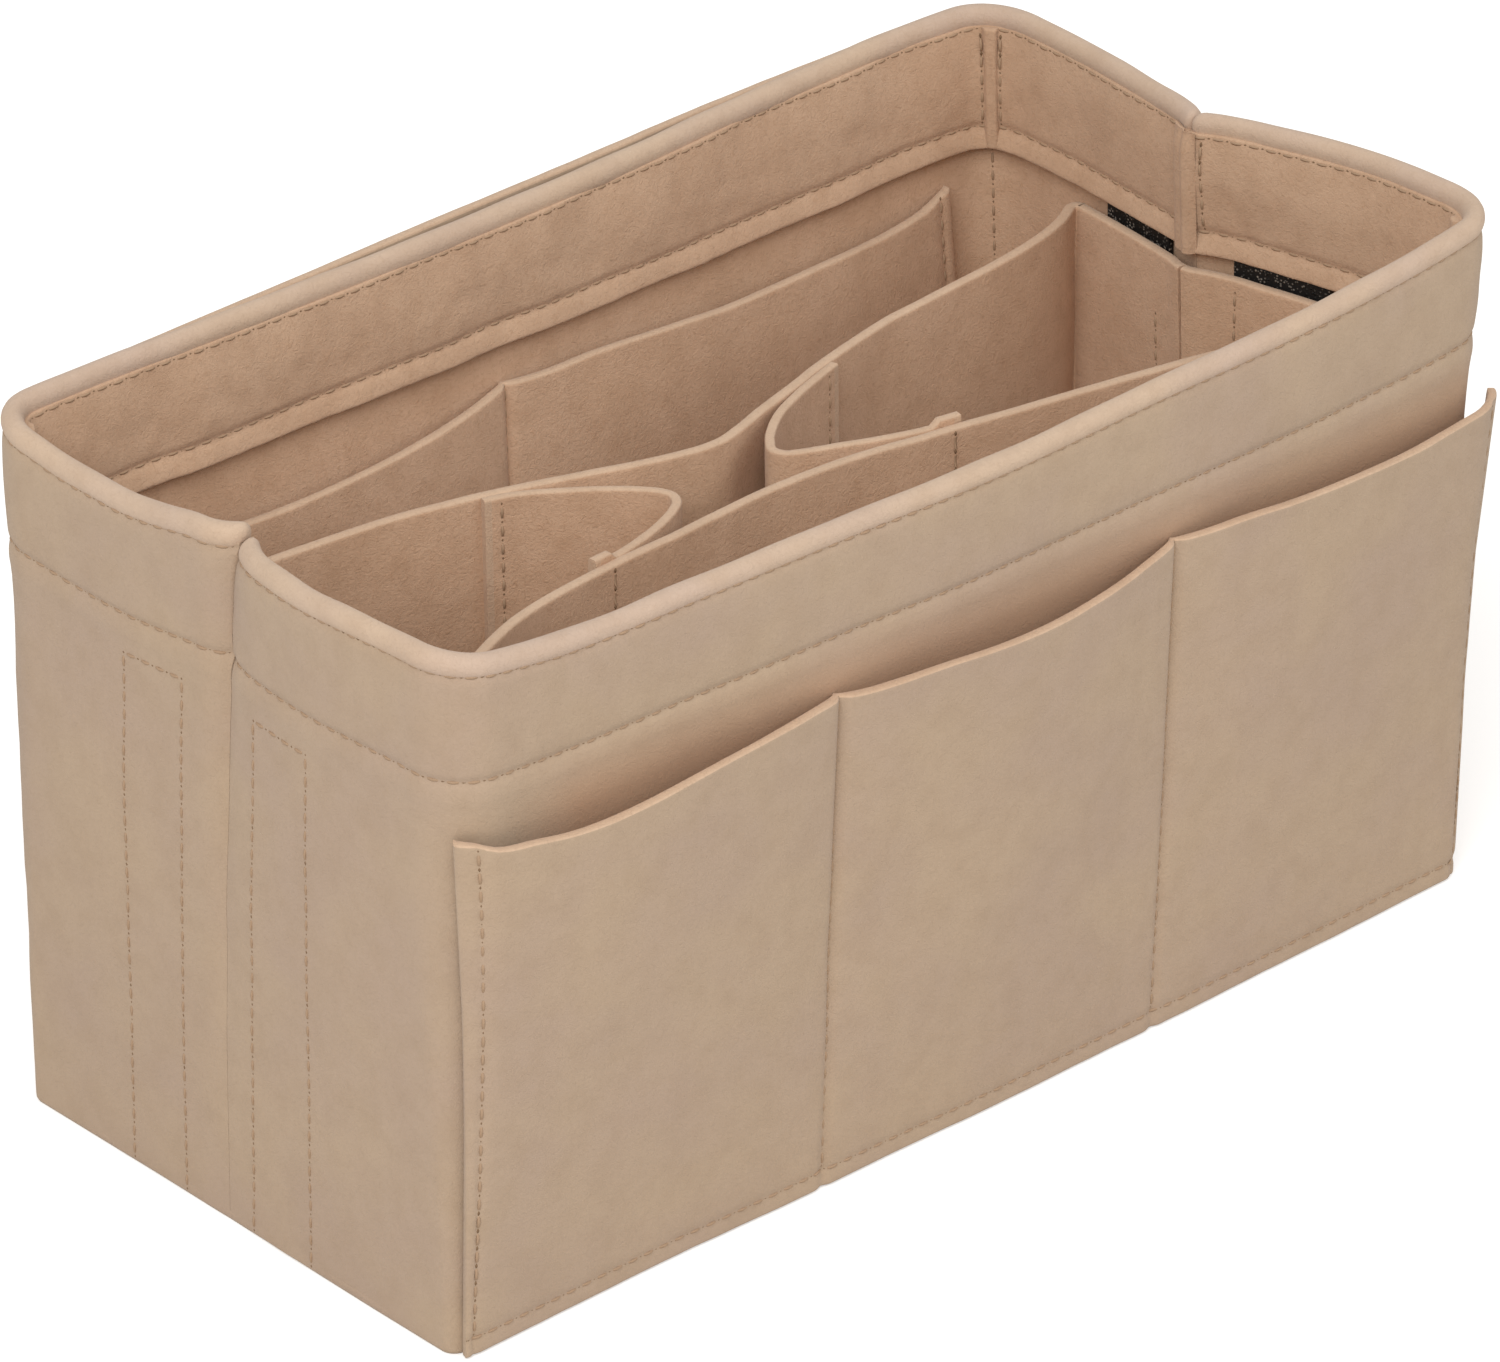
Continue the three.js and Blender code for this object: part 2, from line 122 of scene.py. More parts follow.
def floorMaterial():
    # matt paper sweep: the camera sees it white where no shadow falls
    material, tree = newMaterial("paperSweepMatt")
    lightPath = addNode(tree, "ShaderNodeLightPath")
    paper = addNode(tree, "ShaderNodeBsdfDiffuse", {"Color": linear(studio["floorColour"])})
    glow = addNode(tree, "ShaderNodeEmission", {
        "Color": linear("#FFFFFF"), "Strength": studio["floorGlow"]})
    both = addNode(tree, "ShaderNodeAddShader", links={0: paper.outputs[0], 1: glow.outputs[0]})
    seen = addNode(tree, "ShaderNodeMixShader", links={
        0: lightPath.outputs["Is Camera Ray"], 1: paper.outputs[0], 2: both.outputs[0]})
    addNode(tree, "ShaderNodeOutputMaterial", links={"Surface": seen.outputs[0]})
    return material


def addStudio():
    half = studio["floorHalf"]
    mesh = bpy.data.meshes.new("floor")
    mesh.from_pydata([(-half, -half, 0), (half, -half, 0), (half, half, 0), (-half, half, 0)],
                     [], [(0, 1, 2, 3)])
    mesh.materials.append(floorMaterial())
    addObject("floor", mesh)
    world = bpy.data.worlds.new("softRoom")
    world.use_nodes = True
    tree = world.node_tree
    tree.nodes.clear()
    lightPath = addNode(tree, "ShaderNodeLightPath")
    seen = addNode(tree, "ShaderNodeMath", {"operation": "MAXIMUM"}, {
        0: lightPath.outputs["Is Camera Ray"], 1: lightPath.outputs["Is Glossy Ray"]})
    seenToo = addNode(tree, "ShaderNodeMath", {"operation": "MAXIMUM"}, {
        0: seen.outputs[0], 1: lightPath.outputs["Is Transmission Ray"]})
    room = addNode(tree, "ShaderNodeBackground", {
        "Color": linear(studio["roomColour"]), "Strength": studio["roomStrength"]})
    white = addNode(tree, "ShaderNodeBackground", {"Color": linear("#FFFFFF"), "Strength": 1.0})
    mixed = addNode(tree, "ShaderNodeMixShader", links={
        0: seenToo.outputs[0], 1: room.outputs[0], 2: white.outputs[0]})
    addNode(tree, "ShaderNodeOutputWorld", links={"Surface": mixed.outputs[0]})
    bpy.context.scene.world = world
    for name in ("key", "fill"):
        lamp = studio[name]
        data = bpy.data.lights.new(name, "AREA")
        data.shape = "DISK"
        data.size = lamp["size"]
        data.energy = lamp["watts"]
        light = addObject(name, data)
        light.location = lamp["place"]
        aim = Vector(studio["aim"]) - Vector(lamp["place"])
        light.rotation_euler = aim.to_track_quat("-Z", "Y").to_euler()


addStudio()
bpy.context.scene.view_settings.view_transform = "Standard"
print("studio set")


# Sizes of the tub in millimetres, as its maker would give them
tub = {
    "halfLength": 156.0, "halfWidth": 75.0, "height": 176.0, "cornerRadius": 12.0,
    "baseRadius": 4.0, "topRadius": 12.5,
    "wallFelt": 3.0, "facingFelt": 2.2, "pocketFelt": 2.5, "gap": 0.3,
    "frontLean": 2.5, "frontBow": 4.0, "backLean": 4.0, "backBow": 5.0,
    "topStitch": 171.0, "bandStitch": 144.5, "facingEdge": 140.5, "backFacingLift": 2.5,
    "facingTop": 171.8, "facingSeam": 5.5,  # the seam's height above the facing's edge
    "facingLoose": 1.1,  # how far that edge stands off the wall
    "foldFrom": 60.0, "foldTo": 30.0, "jointY": 62.0, "hingeX": 136.0,
    "faceFrom": 43.0,  # how far out along Y the long wall's own lean and bow begin
    "creaseFade": 1.3,  # how late an end's plan turns from its base's into its rim's
    "radiusFull": 130.0,  # the height from which a corner has its top radius
    "endStraight": 45.0,  # how far out along Y an end begins to give way to its corner
    "radiusFrom": 105.0, "shiftFrom": 90.0,  # how far along X a long wall does
    "sagFrom": 118.0, "sagFade": 1.15,  # the rim's sag fades out down to this height
}
straightHalf = tub["halfLength"] - tub["cornerRadius"]
cornerArc = tub["cornerRadius"] * math.pi / 2
cornerMiddle = straightHalf + cornerArc / 2
jointAlong = straightHalf + cornerArc + tub["halfWidth"] - tub["cornerRadius"] - tub["jointY"]
creaseAlong = jointAlong + tub["jointY"]
# Plan of each half of an end, by end and side: how far out the felt stands at shares of the way
# from the crease to the corner, at the rim and at the base
endPlan = {
    (-1, 1): {"share": [0, 0.03, 0.08, 0.2, 0.42, 0.7, 1],
              "top": [150.5, 152.3, 154.2, 155.2, 155.8, 155.8, 155.4],
              "base": [155.8, 155.8, 155.8, 155.7, 155.5, 155.4, 155.2]},
    (-1, -1): {"share": [0, 0.05, 0.12, 0.27, 0.45, 0.7, 1],
               "top": [150.5, 152.4, 154.2, 156.3, 157.9, 158.4, 158.0],
               "base": [155.8, 155.9, 156.0, 156.2, 156.5, 156.8, 157.0]},
    (1, 1): {"share": [0, 0.05, 0.12, 0.3, 0.6, 0.85, 1],
             "top": [146.6, 148.0, 149.1, 151.1, 153.9, 155.7, 156.6],
             "base": [152.8, 152.9, 153.0, 153.3, 153.8, 154.2, 154.4]},
    (1, -1): {"share": [0, 0.05, 0.15, 0.3, 0.45, 0.7, 1],
              "top": [146.6, 148.7, 151.5, 154.2, 156.9, 160.2, 161.4],
              "base": [152.8, 152.9, 153.0, 153.1, 153.2, 153.3, 153.4]},
}
creaseY = {-1: (5.5, -1.0), 1: (3.0, 3.0)}  # where each crease meets the base and the rim
# How far each long wall wanders along Y, at its rim and at its base
wander = {
    -1: {"along": [-156, -100, -77, -43, -12, 45, 107, 142, 156],
         "rim": [-0.5, -0.5, -1, -1.5, -2.5, -2, -5, -4, -2],
         "base": [3.5, 3.1, 2.4, 1.1, 0.1, -0.9, -1.0, -1.0, -1.2]},
    1: {"along": [-156, -143, -120, -96, -63, -30, 2, 35, 68, 101, 130, 156],
        "rim": [3.3, 3.3, 1.8, -0.4, -2.1, -3.0, -2.7, -1.5, 1.8, 4.6, 6.8, 5.6],
        "base": [2.8, 2.6, 2.2, 1.5, 0.8, 0.3, 0, 0, 0.3, 0.6, 0.9, 1.2]},
}
# How far the rim sags along each wall and its half ends
sag = {
    -1: ([-226, -214, -200, -185, -170, -162, -150, -140, -128, -110, -90, 45, 70, 92, 115, 135,
          156, 226],
         [2.9, 2.5, 1.9, 1.2, 0.7, 0.8, 1.8, 3.2, 4.8, 5.4, 5.1, 5.2, 4.4, 3.2, 2.0, 0.7, 0, 0]),
    1: ([-226, -212, -206, -200, -194, -182, -170, -164, -150, -130, 0, 60, 100, 140, 160, 200,
         215, 226],
        [0.2, 0.5, 1.5, 2.4, 3.0, 3.1, 2.6, 1.6, 0.3, 0, 0, 0, 0.2, 0.2, 0, 0, 0, 0]),
}


def smooth(value, low, high):
    # 0 below low and 1 above high, with a soft step between
    share = np.clip((value - low) / (high - low), 0, 1)
    return share * share * (3 - 2 * share)


def bell(value, middle, width):
    # 1 in the middle, fading to nothing on both sides
    return np.exp(-((value - middle) / width) ** 2)


def curve(value, places, heights):
    # smooth curve through given points: on each stretch a cubic that keeps the mean slope
    x, y = np.asarray(places, float), np.asarray(heights, float)
    slope = np.gradient(y, x)
    k = np.clip(np.searchsorted(x, value, side="right") - 1, 0, len(x) - 2)
    width = x[k + 1] - x[k]
    t = np.clip((value - x[k]) / width, 0, 1)
    rise = y[k + 1] - y[k]
    return (y[k] + rise * t * t * (3 - 2 * t) + slope[k] * width * t * (1 - t) ** 2
            - slope[k + 1] * width * t * t * (1 - t))


# Soft waves in the felt: for each kind of piece, how high and how long they are, and their seed
waves = {
    "wall": ((0.2, 38, 5), (0.05, 9, 6)),
    "facing": ((0.4, 26, 15), (0.13, 7, 16)),
    "rim": ((0.14, 22, 25),),
    "pocket": ((0.28, 44, 35), (0.05, 9, 36)),
    "pouch": ((0.15, 30, 45), (0.04, 8, 46)),
}


def ripple(points, kind):
    # each wave is a sum of a dozen in seeded directions, about as long as it says
    total = np.zeros(points.shape[:-1])
    for high, size, seed in waves[kind]:
        random = np.random.default_rng(seed)
        part = np.zeros(points.shape[:-1])
        for _ in range(12):
            direction = random.normal(size=3)
            direction /= np.linalg.norm(direction)
            pace = 2 * math.pi / (size * random.uniform(0.7, 1.5))
            part += np.sin(points @ direction * pace + random.uniform(0, 6.28))
        total += high * part / 4.5
    return total


def endX(end, side, q, z):
    # plan of the outer felt on one half of an end, q millimetres from its crease
    plan = endPlan[(end, side)]
    share = np.clip(np.abs(q) / tub["jointY"], 0, 1)
    top = curve(share, plan["share"], plan["top"])
    base = curve(share, plan["share"], plan["base"])
    return base + (top - base) * (z / tub["height"]) ** tub["creaseFade"]


def endLayerX(end, side, q, z, depth):
    # a layer at a constant depth: the outline shrunk by a disc of that radius, or grown when
    # the depth is negative
    step = np.linspace(-1, 1, 33)
    reach = np.abs(depth)[..., None]
    shift = np.sqrt(1 - step ** 2) * reach
    edge = endX(end, side, q[..., None] + step * reach, z[..., None])
    inside = (edge - shift).min(-1)
    outside = (edge + shift).max(-1)
    return np.where(depth >= 0, inside, outside)


def creaseLean(end, z):
    # where the crease lies along Y, leaning more towards the rim
    low, high = creaseY[end]
    return low + (high - low) * (z / tub["height"]) ** 2


def cornerSize(z):
    # radius of a corner of the tub, tighter at the base
    share = smooth(z, 0, tub["radiusFull"])
    return tub["baseRadius"] + (tub["topRadius"] - tub["baseRadius"]) * share


def endY(end, side, q, z):
    # across an end: the felt leans with the crease, less and less towards the corner, which
    # is tighter at the base
    lean = creaseLean(end, z) * np.clip(1 - q / tub["jointY"], 0, 1)
    corner = smooth(q, tub["endStraight"], tub["halfWidth"] - tub["cornerRadius"])
    return side * q + lean + side * (tub["cornerRadius"] - cornerSize(z)) * corner


def sagAt(side, along, z):
    # how far the felt hangs down: all of the rim's sag at the rim, and none well below it
    share = (z - tub["sagFrom"]) / (tub["height"] - tub["sagFrom"])
    return curve(along, *sag[side]) * np.clip(share, 0, None) ** tub["sagFade"]


def wallPoint(side, along, depth, z):
    # along the long wall from its middle, round the corner and on across the end to its
    # crease; depth runs inwards from the outer felt
    along, depth, z = np.broadcast_arrays(
        np.asarray(along, float), np.asarray(depth, float), np.asarray(z, float))
    end = np.where(along < 0, -1.0, 1.0)
    run = np.abs(along)
    radius = cornerSize(z)
    angle = np.clip((run - straightHalf) / tub["cornerRadius"], 0, math.pi / 2)
    past = run - straightHalf - cornerArc
    x = np.where(run < straightHalf,
                 run + (tub["cornerRadius"] - radius)
                 * smooth(run, tub["radiusFrom"], straightHalf),
                 tub["halfLength"] - radius * (1 - np.sin(angle)))
    y = tub["halfWidth"] - radius * (1 - np.cos(angle))
    high = z / tub["height"]
    px = x - np.sin(angle) * depth
    py = side * (y - np.cos(angle) * depth)
    for sign in (-1, 1):
        here = end == sign
        corner = endX(sign, side, np.full(1, tub["jointY"]), z[here]) - tub["halfLength"]
        px[here] += corner * smooth(run[here], tub["shiftFrom"], straightHalf)
        turned = here & (past > 0)
        q = tub["halfWidth"] - tub["cornerRadius"] - past[turned]
        px[turned] = endLayerX(sign, side, q, z[turned], depth[turned])
        py[turned] = endY(sign, side, q, z[turned])
    lean = tub["frontLean"] if side < 0 else tub["backLean"]
    bow = tub["frontBow"] if side < 0 else tub["backBow"]
    face = smooth(y - np.clip(past, 0, None), tub["faceFrom"], tub["halfWidth"])
    flare = (lean + bow * (1 - (x / tub["halfLength"]) ** 2)) * face
    places = wander[side]["along"]
    rim, base = (curve(end * x, places, wander[side][row]) for row in ("rim", "base"))
    drift = (base + (rim - base) * high) * face
    return np.stack([end * px, py + side * flare * high + drift,
                     z - sagAt(side, end * run, z)], -1)


# Between two lines of stitches the felt puffs, and each line draws it in, all in millimetres
seamShape = {"wall": {"puff": 0.55, "top": 0.45, "low": 0.55},
             "facing": {"puff": 0.5, "top": 0.4, "low": 0.5},
             "hollow": {"by": 0.3, "under": 4.5, "reach": 2.6}}  # the wall under its lower line


def puffed(z, low, kind):
    # how far the felt stands out between its lower line of stitches and the one under the roll
    shape, top = seamShape[kind], tub["topStitch"]
    band = np.clip((z - low) / (top - low), 0, 1)
    puff = shape["puff"] * (1 - np.abs(2 * band - 1) ** 3)
    return puff - shape["top"] * bell(z, top, 1.2) - shape["low"] * bell(z, low, 1.1)


def seamDepth(z):
    # outer felt in section
    seam, hollow = tub["bandStitch"], seamShape["hollow"]
    return (-puffed(z, seam, "wall")
            - hollow["by"] * bell(z, seam - hollow["under"], hollow["reach"]))


def feltRows(low, high, spacing, edge=0.5, extra=()):
    # heights from a cut edge to the other, close together where the edge rounds off, and how
    # much each face is drawn in there
    offsets = np.array([0.0, 0.16, 0.34, 0.7, 1.2]) * edge / 0.5
    insets = np.array([0.42, 0.2, 0.08, 0.01, 0.0]) * edge / 0.5
    count = max(int((high - low) / spacing), 2)
    middle = np.linspace(low, high, count + 1)[1:-1]
    middle = middle[(middle > low + offsets[-1] + 0.3) & (middle < high - offsets[-1] - 0.3)]
    rows = np.concatenate([low + offsets, middle, high - offsets[::-1], np.asarray(extra, float)])
    rows = np.unique(np.round(rows, 3))
    inset = np.interp(rows, np.concatenate([low + offsets, high - offsets[::-1]]),
                      np.concatenate([insets, insets[::-1]]))
    return rows, inset


def meshObject(name, points, faces, materials, faceMaterial=None, sharp=50):
    # points in millimetres to a mesh in metres, smooth except across sharp edges
    mesh = bpy.data.meshes.new(name)
    mesh.from_pydata((np.asarray(points, float).reshape(-1, 3) / 1000).tolist(), [], faces)
    mesh.update()
    for material in materials:
        mesh.materials.append(material)
    if faceMaterial is not None:
        mesh.polygons.foreach_set("material_index", np.asarray(faceMaterial, np.int32))
    mesh.polygons.foreach_set("use_smooth", np.ones(len(mesh.polygons), bool))
    mesh.set_sharp_from_angle(angle=math.radians(sharp))
    mesh.validate()
    return addObject(name, mesh)


def lengthAlong(points):
    # how far along a line each of its points lies
    return np.append(0, np.cumsum(np.linalg.norm(np.diff(points, axis=0), axis=1)))


def rightOf(ahead):
    # in plan, the unit direction to the right of each given one
    turned = np.stack([ahead[..., 1], -ahead[..., 0]], -1)
    return turned / (np.linalg.norm(turned, axis=-1)[..., None] + 1e-9)


def signedVolume(points, faces):
    # positive where the faces of a closed mesh point outwards
    quads = np.array([face if len(face) == 4 else (*face, face[-1]) for face in faces])
    a, b, c, d = (points[quads[:, k]] for k in range(4))
    return np.sum(a * np.cross(b, c)) + np.sum(a * np.cross(c, d))


def sheetObject(name, outer, inner, materials, edges=("top",)):
    # felt sheet: two matching faces of points (columns, rows) joined by their cut edges;
    # the rounding rows next to a listed edge take the second material and the inner face the
    # third, where there is one
    columns, rows = outer.shape[:2]
    points = np.concatenate([outer.reshape(-1, 3), inner.reshape(-1, 3)])
    index = np.arange(columns * rows).reshape(columns, rows)
    far = index + columns * rows
    a, b, c, d = index[:-1, :-1], index[1:, :-1], index[1:, 1:], index[:-1, 1:]
    front = np.stack([a, b, c, d], -1).reshape(-1, 4)
    back = np.stack([a, d, c, b], -1).reshape(-1, 4) + columns * rows
    row = np.broadcast_to(np.arange(rows - 1), (columns - 1, rows - 1)).reshape(-1)
    column = np.broadcast_to(np.arange(columns - 1)[:, None], (columns - 1, rows - 1)).reshape(-1)
    rounding = 2
    near = {"top": row >= rows - 1 - rounding, "bottom": row < rounding,
            "start": column < rounding, "end": column >= columns - 1 - rounding}
    cut = np.any([near[edge] & (edge in edges) for edge in near], axis=0)
    strips = {
        "bottom": np.stack([index[:-1, 0], far[:-1, 0], far[1:, 0], index[1:, 0]], -1),
        "top": np.stack([index[:-1, -1], index[1:, -1], far[1:, -1], far[:-1, -1]], -1),
        "start": np.stack([index[0, :-1], index[0, 1:], far[0, 1:], far[0, :-1]], -1),
        "end": np.stack([index[-1, :-1], far[-1, :-1], far[-1, 1:], index[-1, 1:]], -1),
    }
    faces = np.concatenate([front, back, *strips.values()])
    behind = np.where(cut, 1, 2 if len(materials) > 2 else 0)
    kinds = np.concatenate([cut, behind, *[np.full(len(strip), key in edges)
                                            for key, strip in strips.items()]])
    if signedVolume(points, faces) < 0:
        faces = faces[:, ::-1]
    return meshObject(name, points, faces.tolist(), materials, kinds.astype(int))


def carriedObject(name, rings, materials):
    # a closed profile carried along a path: rings of points (steps, ring), capped at both ends
    steps, ring = rings.shape[:2]
    points = rings.reshape(-1, 3)
    index = np.arange(steps * ring).reshape(steps, ring)
    turned = np.roll(index, -1, 1)
    faces = np.stack([index[:-1], index[1:], turned[1:], turned[:-1]], -1).reshape(-1, 4).tolist()
    triangles = [(index[0, 0], index[0, k], index[0, k + 1]) for k in range(1, ring - 1)]
    triangles += [(index[-1, 0], index[-1, k + 1], index[-1, k]) for k in range(1, ring - 1)]
    faces += [tuple(int(v) for v in face) for face in triangles]
    if signedVolume(points, faces) < 0:
        faces = [tuple(face[::-1]) for face in faces]
    return meshObject(name, points, faces, materials, sharp=60)


# Lockstitch in a thread of the felt's own colour: short lengths sunk into the felt, with a
# needle hole between each two of them, a small bar in a dark colour that paints the shade in
# the hole; each is a rounded bar, given by places along it, its radii there, how high its
# middle lies over the felt and how wide it is for its height
stitchPitch = 4.5
stitchBars = [
    {"along": (-1.6, -1.15, 0, 1.15, 1.6), "radii": (0.16, 0.2805, 0.33, 0.2805, 0.16),
     "heights": (-0.42, -0.02, 0.12, -0.02, -0.42), "width": 1.15},
    {"along": (-0.55, 0, 0.55), "radii": (0.08, 0.22, 0.08), "heights": (-0.12,) * 3,
     "width": 0.36 / 0.22}]


def stitchRun(points, normals):
    # evenly spaced stitches on a line of surface points: centres, directions and holes
    length = lengthAlong(points)
    count = max(int(length[-1] / stitchPitch), 1)
    pitch = length[-1] / count

    def at(places, values):
        return np.stack([np.interp(places, length, values[:, k]) for k in range(3)], -1)

    ahead = np.gradient(points, axis=0)
    result = []
    for spots in ((np.arange(count) + 0.5) * pitch, np.arange(count + 1) * pitch):
        centre, along, out = at(spots, points), at(spots, ahead), at(spots, normals)
        along /= np.linalg.norm(along, axis=1)[:, None]
        out -= along * np.sum(along * out, axis=1)[:, None]
        out /= np.linalg.norm(out, axis=1)[:, None]
        result.append((centre, along, out))
    return result


def stitchShape(frames, bar, around=6):
    # a rounded bar at each frame: rings of points along it
    centre, along, out = (part[:, None, None, :] for part in frames)
    sideways = np.cross(out, along)
    turn = np.linspace(0, 2 * math.pi, around, endpoint=False)[None, None, :, None]
    s, r, h = (np.asarray(bar[key], float)[None, :, None, None]
               for key in ("along", "radii", "heights"))
    points = centre + along * s + out * (h + r * np.cos(turn))
    points = points + sideways * (r * np.sin(turn) * bar["width"])
    rings = len(bar["along"])
    index = np.arange(rings * around).reshape(rings, around)
    turned = np.roll(index, -1, 1)
    quads = np.stack([index[:-1], turned[:-1], turned[1:], index[1:]], -1).reshape(-1, 4)
    ends = [index[0].tolist()[::-1], index[-1].tolist()]
    faces = []
    for k in range(points.shape[0]):
        shift = k * rings * around
        faces += (quads + shift).tolist()
        faces += [[v + shift for v in end] for end in ends]
    return points.reshape(-1, 3), faces


def stitchObject(name, runs, body=None):
    # all the stitches of one body: thread and needle holes of every run
    points, faces, kinds, total = [], [], [], 0
    for run in runs:
        for kind, (frames, bar) in enumerate(zip(run, stitchBars)):
            shape, shapeFaces = stitchShape(frames, bar)
            points.append(shape)
            faces += [[v + total for v in face] for face in shapeFaces]
            kinds += [kind] * len(shapeFaces)
            total += len(shape)
    obj = meshObject(name, np.concatenate(points), faces, [sewingThread, needleHole], kinds, 80)
    if body:
        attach(obj, body)
    return obj


def surfaceRun(place, piece, u, v, outward, count=240):
    # a line of stitches on a surface place(piece, u, v) from (u0, v0) to (u1, v1)
    t = np.linspace(0, 1, count)
    a, b = u[0] + (u[1] - u[0]) * t, v[0] + (v[1] - v[0]) * t
    points = place(piece, a, b)
    du = place(piece, a + 0.2, b) - place(piece, a - 0.2, b)
    dv = place(piece, a, b + 0.2) - place(piece, a, b - 0.2)
    normals = np.cross(du, dv)
    normals /= np.linalg.norm(normals, axis=1)[:, None] + 1e-12
    middle = points[:, :2] @ np.array([[0.2, 0], [0, 1.0]])
    away = np.sum(normals[:, :2] * middle, axis=1)
    normals *= np.where(away * outward < 0, -1.0, 1.0)[:, None]
    return stitchRun(points, normals)


def addSurface(tree, settings, links=None):
    shader = addNode(tree, "ShaderNodeBsdfPrincipled", settings, links)
    addNode(tree, "ShaderNodeOutputMaterial", links={"Surface": shader.outputs[0]})


def feltMaterial(name, main, shade, blush, fibre=0.5, paintedPocketShade=None):
    # needled polyester felt: dead matt, cloudy colour over a few centimetres and short fibres
    # a few tenths of a millimetre thick that lie every way; the last colour, where given, is
    # painted shade: a warmer, darker colour on the wall behind the front pockets' mouths, for the
    # shade and the warm light bounced out of the pockets there
    material, tree = newMaterial(name)
    place = addNode(tree, "ShaderNodeTexCoord").outputs["Object"]
    cloud = addNode(tree, "ShaderNodeTexNoise", {"Scale": 30.0, "Detail": 2.0}, {"Vector": place})
    patch = addNode(tree, "ShaderNodeTexNoise", {"Scale": 150.0, "Detail": 3.0}, {"Vector": place})
    grain = addNode(tree, "ShaderNodeTexNoise", {
        "Scale": 900.0, "Detail": 3.0, "Roughness": 0.7, "Distortion": 1.2}, {"Vector": place})
    colour = None
    for noise, low, high, most, over in (
            (cloud, 0.38, 0.66, 1.0, blush), (patch, 0.4, 0.75, 0.35, shade),
            (grain, 0.5, 0.72, fibre, shade)):
        share = addNode(tree, "ShaderNodeMapRange", {
            "From Min": low, "From Max": high, "To Max": most}, {"Value": noise.outputs["Fac"]})
        under = {6: colour.outputs[2]} if colour else {}
        colour = addNode(tree, "ShaderNodeMix", {
            "data_type": "RGBA", 6: linear(main), 7: linear(over)}, {
                "Factor": share.outputs[0], **under})
    # painted shade: below the pockets' mouths and away from the left end, the wall takes the
    # warmer, darker colour
    if paintedPocketShade:
        split = addNode(tree, "ShaderNodeSeparateXYZ", {}, {0: place})
        below = addNode(tree, "ShaderNodeMapRange", {
            "From Min": 0.142, "From Max": 0.127, "To Max": 0.8}, {"Value": split.outputs["Z"]})
        beside = addNode(tree, "ShaderNodeMapRange", {
            "From Min": -0.142, "From Max": -0.122}, {"Value": split.outputs["X"]})
        share = addNode(tree, "ShaderNodeMath", {"operation": "MULTIPLY"}, {
            0: below.outputs[0], 1: beside.outputs[0]})
        colour = addNode(tree, "ShaderNodeMix", {"data_type": "RGBA", 7: linear(paintedPocketShade)}, {
            "Factor": share.outputs[0], 6: colour.outputs[2]})
    bump = addNode(tree, "ShaderNodeBump", {
        "Strength": 0.6, "Distance": 0.0002 + 0.0006 * fibre}, {"Height": grain.outputs["Fac"]})
    addSurface(tree, {"Roughness": 0.96, "Specular IOR Level": 0.15, "Sheen Weight": 0.12,
                      "Sheen Roughness": 0.6},
               {"Base Color": colour.outputs[2], "Normal": bump.outputs["Normal"]})
    return material


def hookMaterial():
    # woven polyamide tape with cropped hooks: black with the pale tips of its hooks, which
    # stand about 1.3 mm apart
    material, tree = newMaterial("wovenHookTapeCropped")
    place = addNode(tree, "ShaderNodeTexCoord").outputs["Object"]
    hooks = addNode(tree, "ShaderNodeTexVoronoi", {"Scale": 1100.0, "Randomness": 0.8},
                    {"Vector": place})
    tips = addNode(tree, "ShaderNodeMapRange", {
        "From Min": 0.42, "From Max": 0.2, "To Max": 0.75}, {"Value": hooks.outputs["Distance"]})
    wear = addNode(tree, "ShaderNodeTexNoise", {"Scale": 260.0, "Detail": 2.0}, {"Vector": place})
    caught = addNode(tree, "ShaderNodeMapRange", {
        "From Min": 0.38, "From Max": 0.58}, {"Value": wear.outputs["Fac"]})
    share = addNode(tree, "ShaderNodeMath", {"operation": "MULTIPLY"}, {
        0: tips.outputs[0], 1: caught.outputs[0]})
    colour = addNode(tree, "ShaderNodeMix", {
        "data_type": "RGBA", 6: linear("#14110F"), 7: linear("#A59A8E")}, {
            "Factor": share.outputs[0]})
    bump = addNode(tree, "ShaderNodeBump", {"Strength": 0.8, "Distance": 0.0006},
                   {"Height": tips.outputs[0]})
    addSurface(tree, {"Roughness": 0.62, "Specular IOR Level": 0.3},
               {"Base Color": colour.outputs[2], "Normal": bump.outputs["Normal"]})
    return material


def plainMaterial(name, colour, roughness):
    # one matt colour, for what is too small to show a pattern
    material, tree = newMaterial(name)
    addSurface(tree, {"Base Color": linear(colour), "Roughness": roughness,
                      "Specular IOR Level": 0.2})
    return material


outerFelt = feltMaterial("needledFeltOuter", "#B69E85", "#A68D74", "#B29A85", 0.3)
# the front wall's felt, with painted shade behind the pockets' mouths
frontFelt = feltMaterial("needledFeltFrontWall", "#B69E85", "#A68D74", "#B29A85", 0.3, "#B78F70")
# the felt seen inside the tub, written lighter and warmer than the outer felt: painted light for
# the warm light bounced about inside
liningFelt = feltMaterial("needledFeltInside", "#D2AF91", "#B38D6D", "#CEAA8B", 0.55)
# the rolled rim, the wall's own felt folded over, written lighter than the wall: a painted
# highlight along the roll
rimFelt = feltMaterial("needledFeltRolled", "#CAB097", "#B69A81", "#C6AD99", 0.35)
# the facing, written lighter and warmer in the same way: painted bounced light inside the mouth
facingFelt = feltMaterial("needledFeltFacing", "#CBAA8D", "#AD896B", "#C7A588", 0.5)
cutFelt = feltMaterial("cutFeltEdge", "#CFB195", "#B99A7E", "#CBAC90")
hookWeave = hookMaterial()
loopWeave = feltMaterial("brushedLoopTape", "#B18E6F", "#97775A", "#AD8A6C")
sewingThread = plainMaterial("polyesterThreadTwisted", "#A98D73", 0.7)
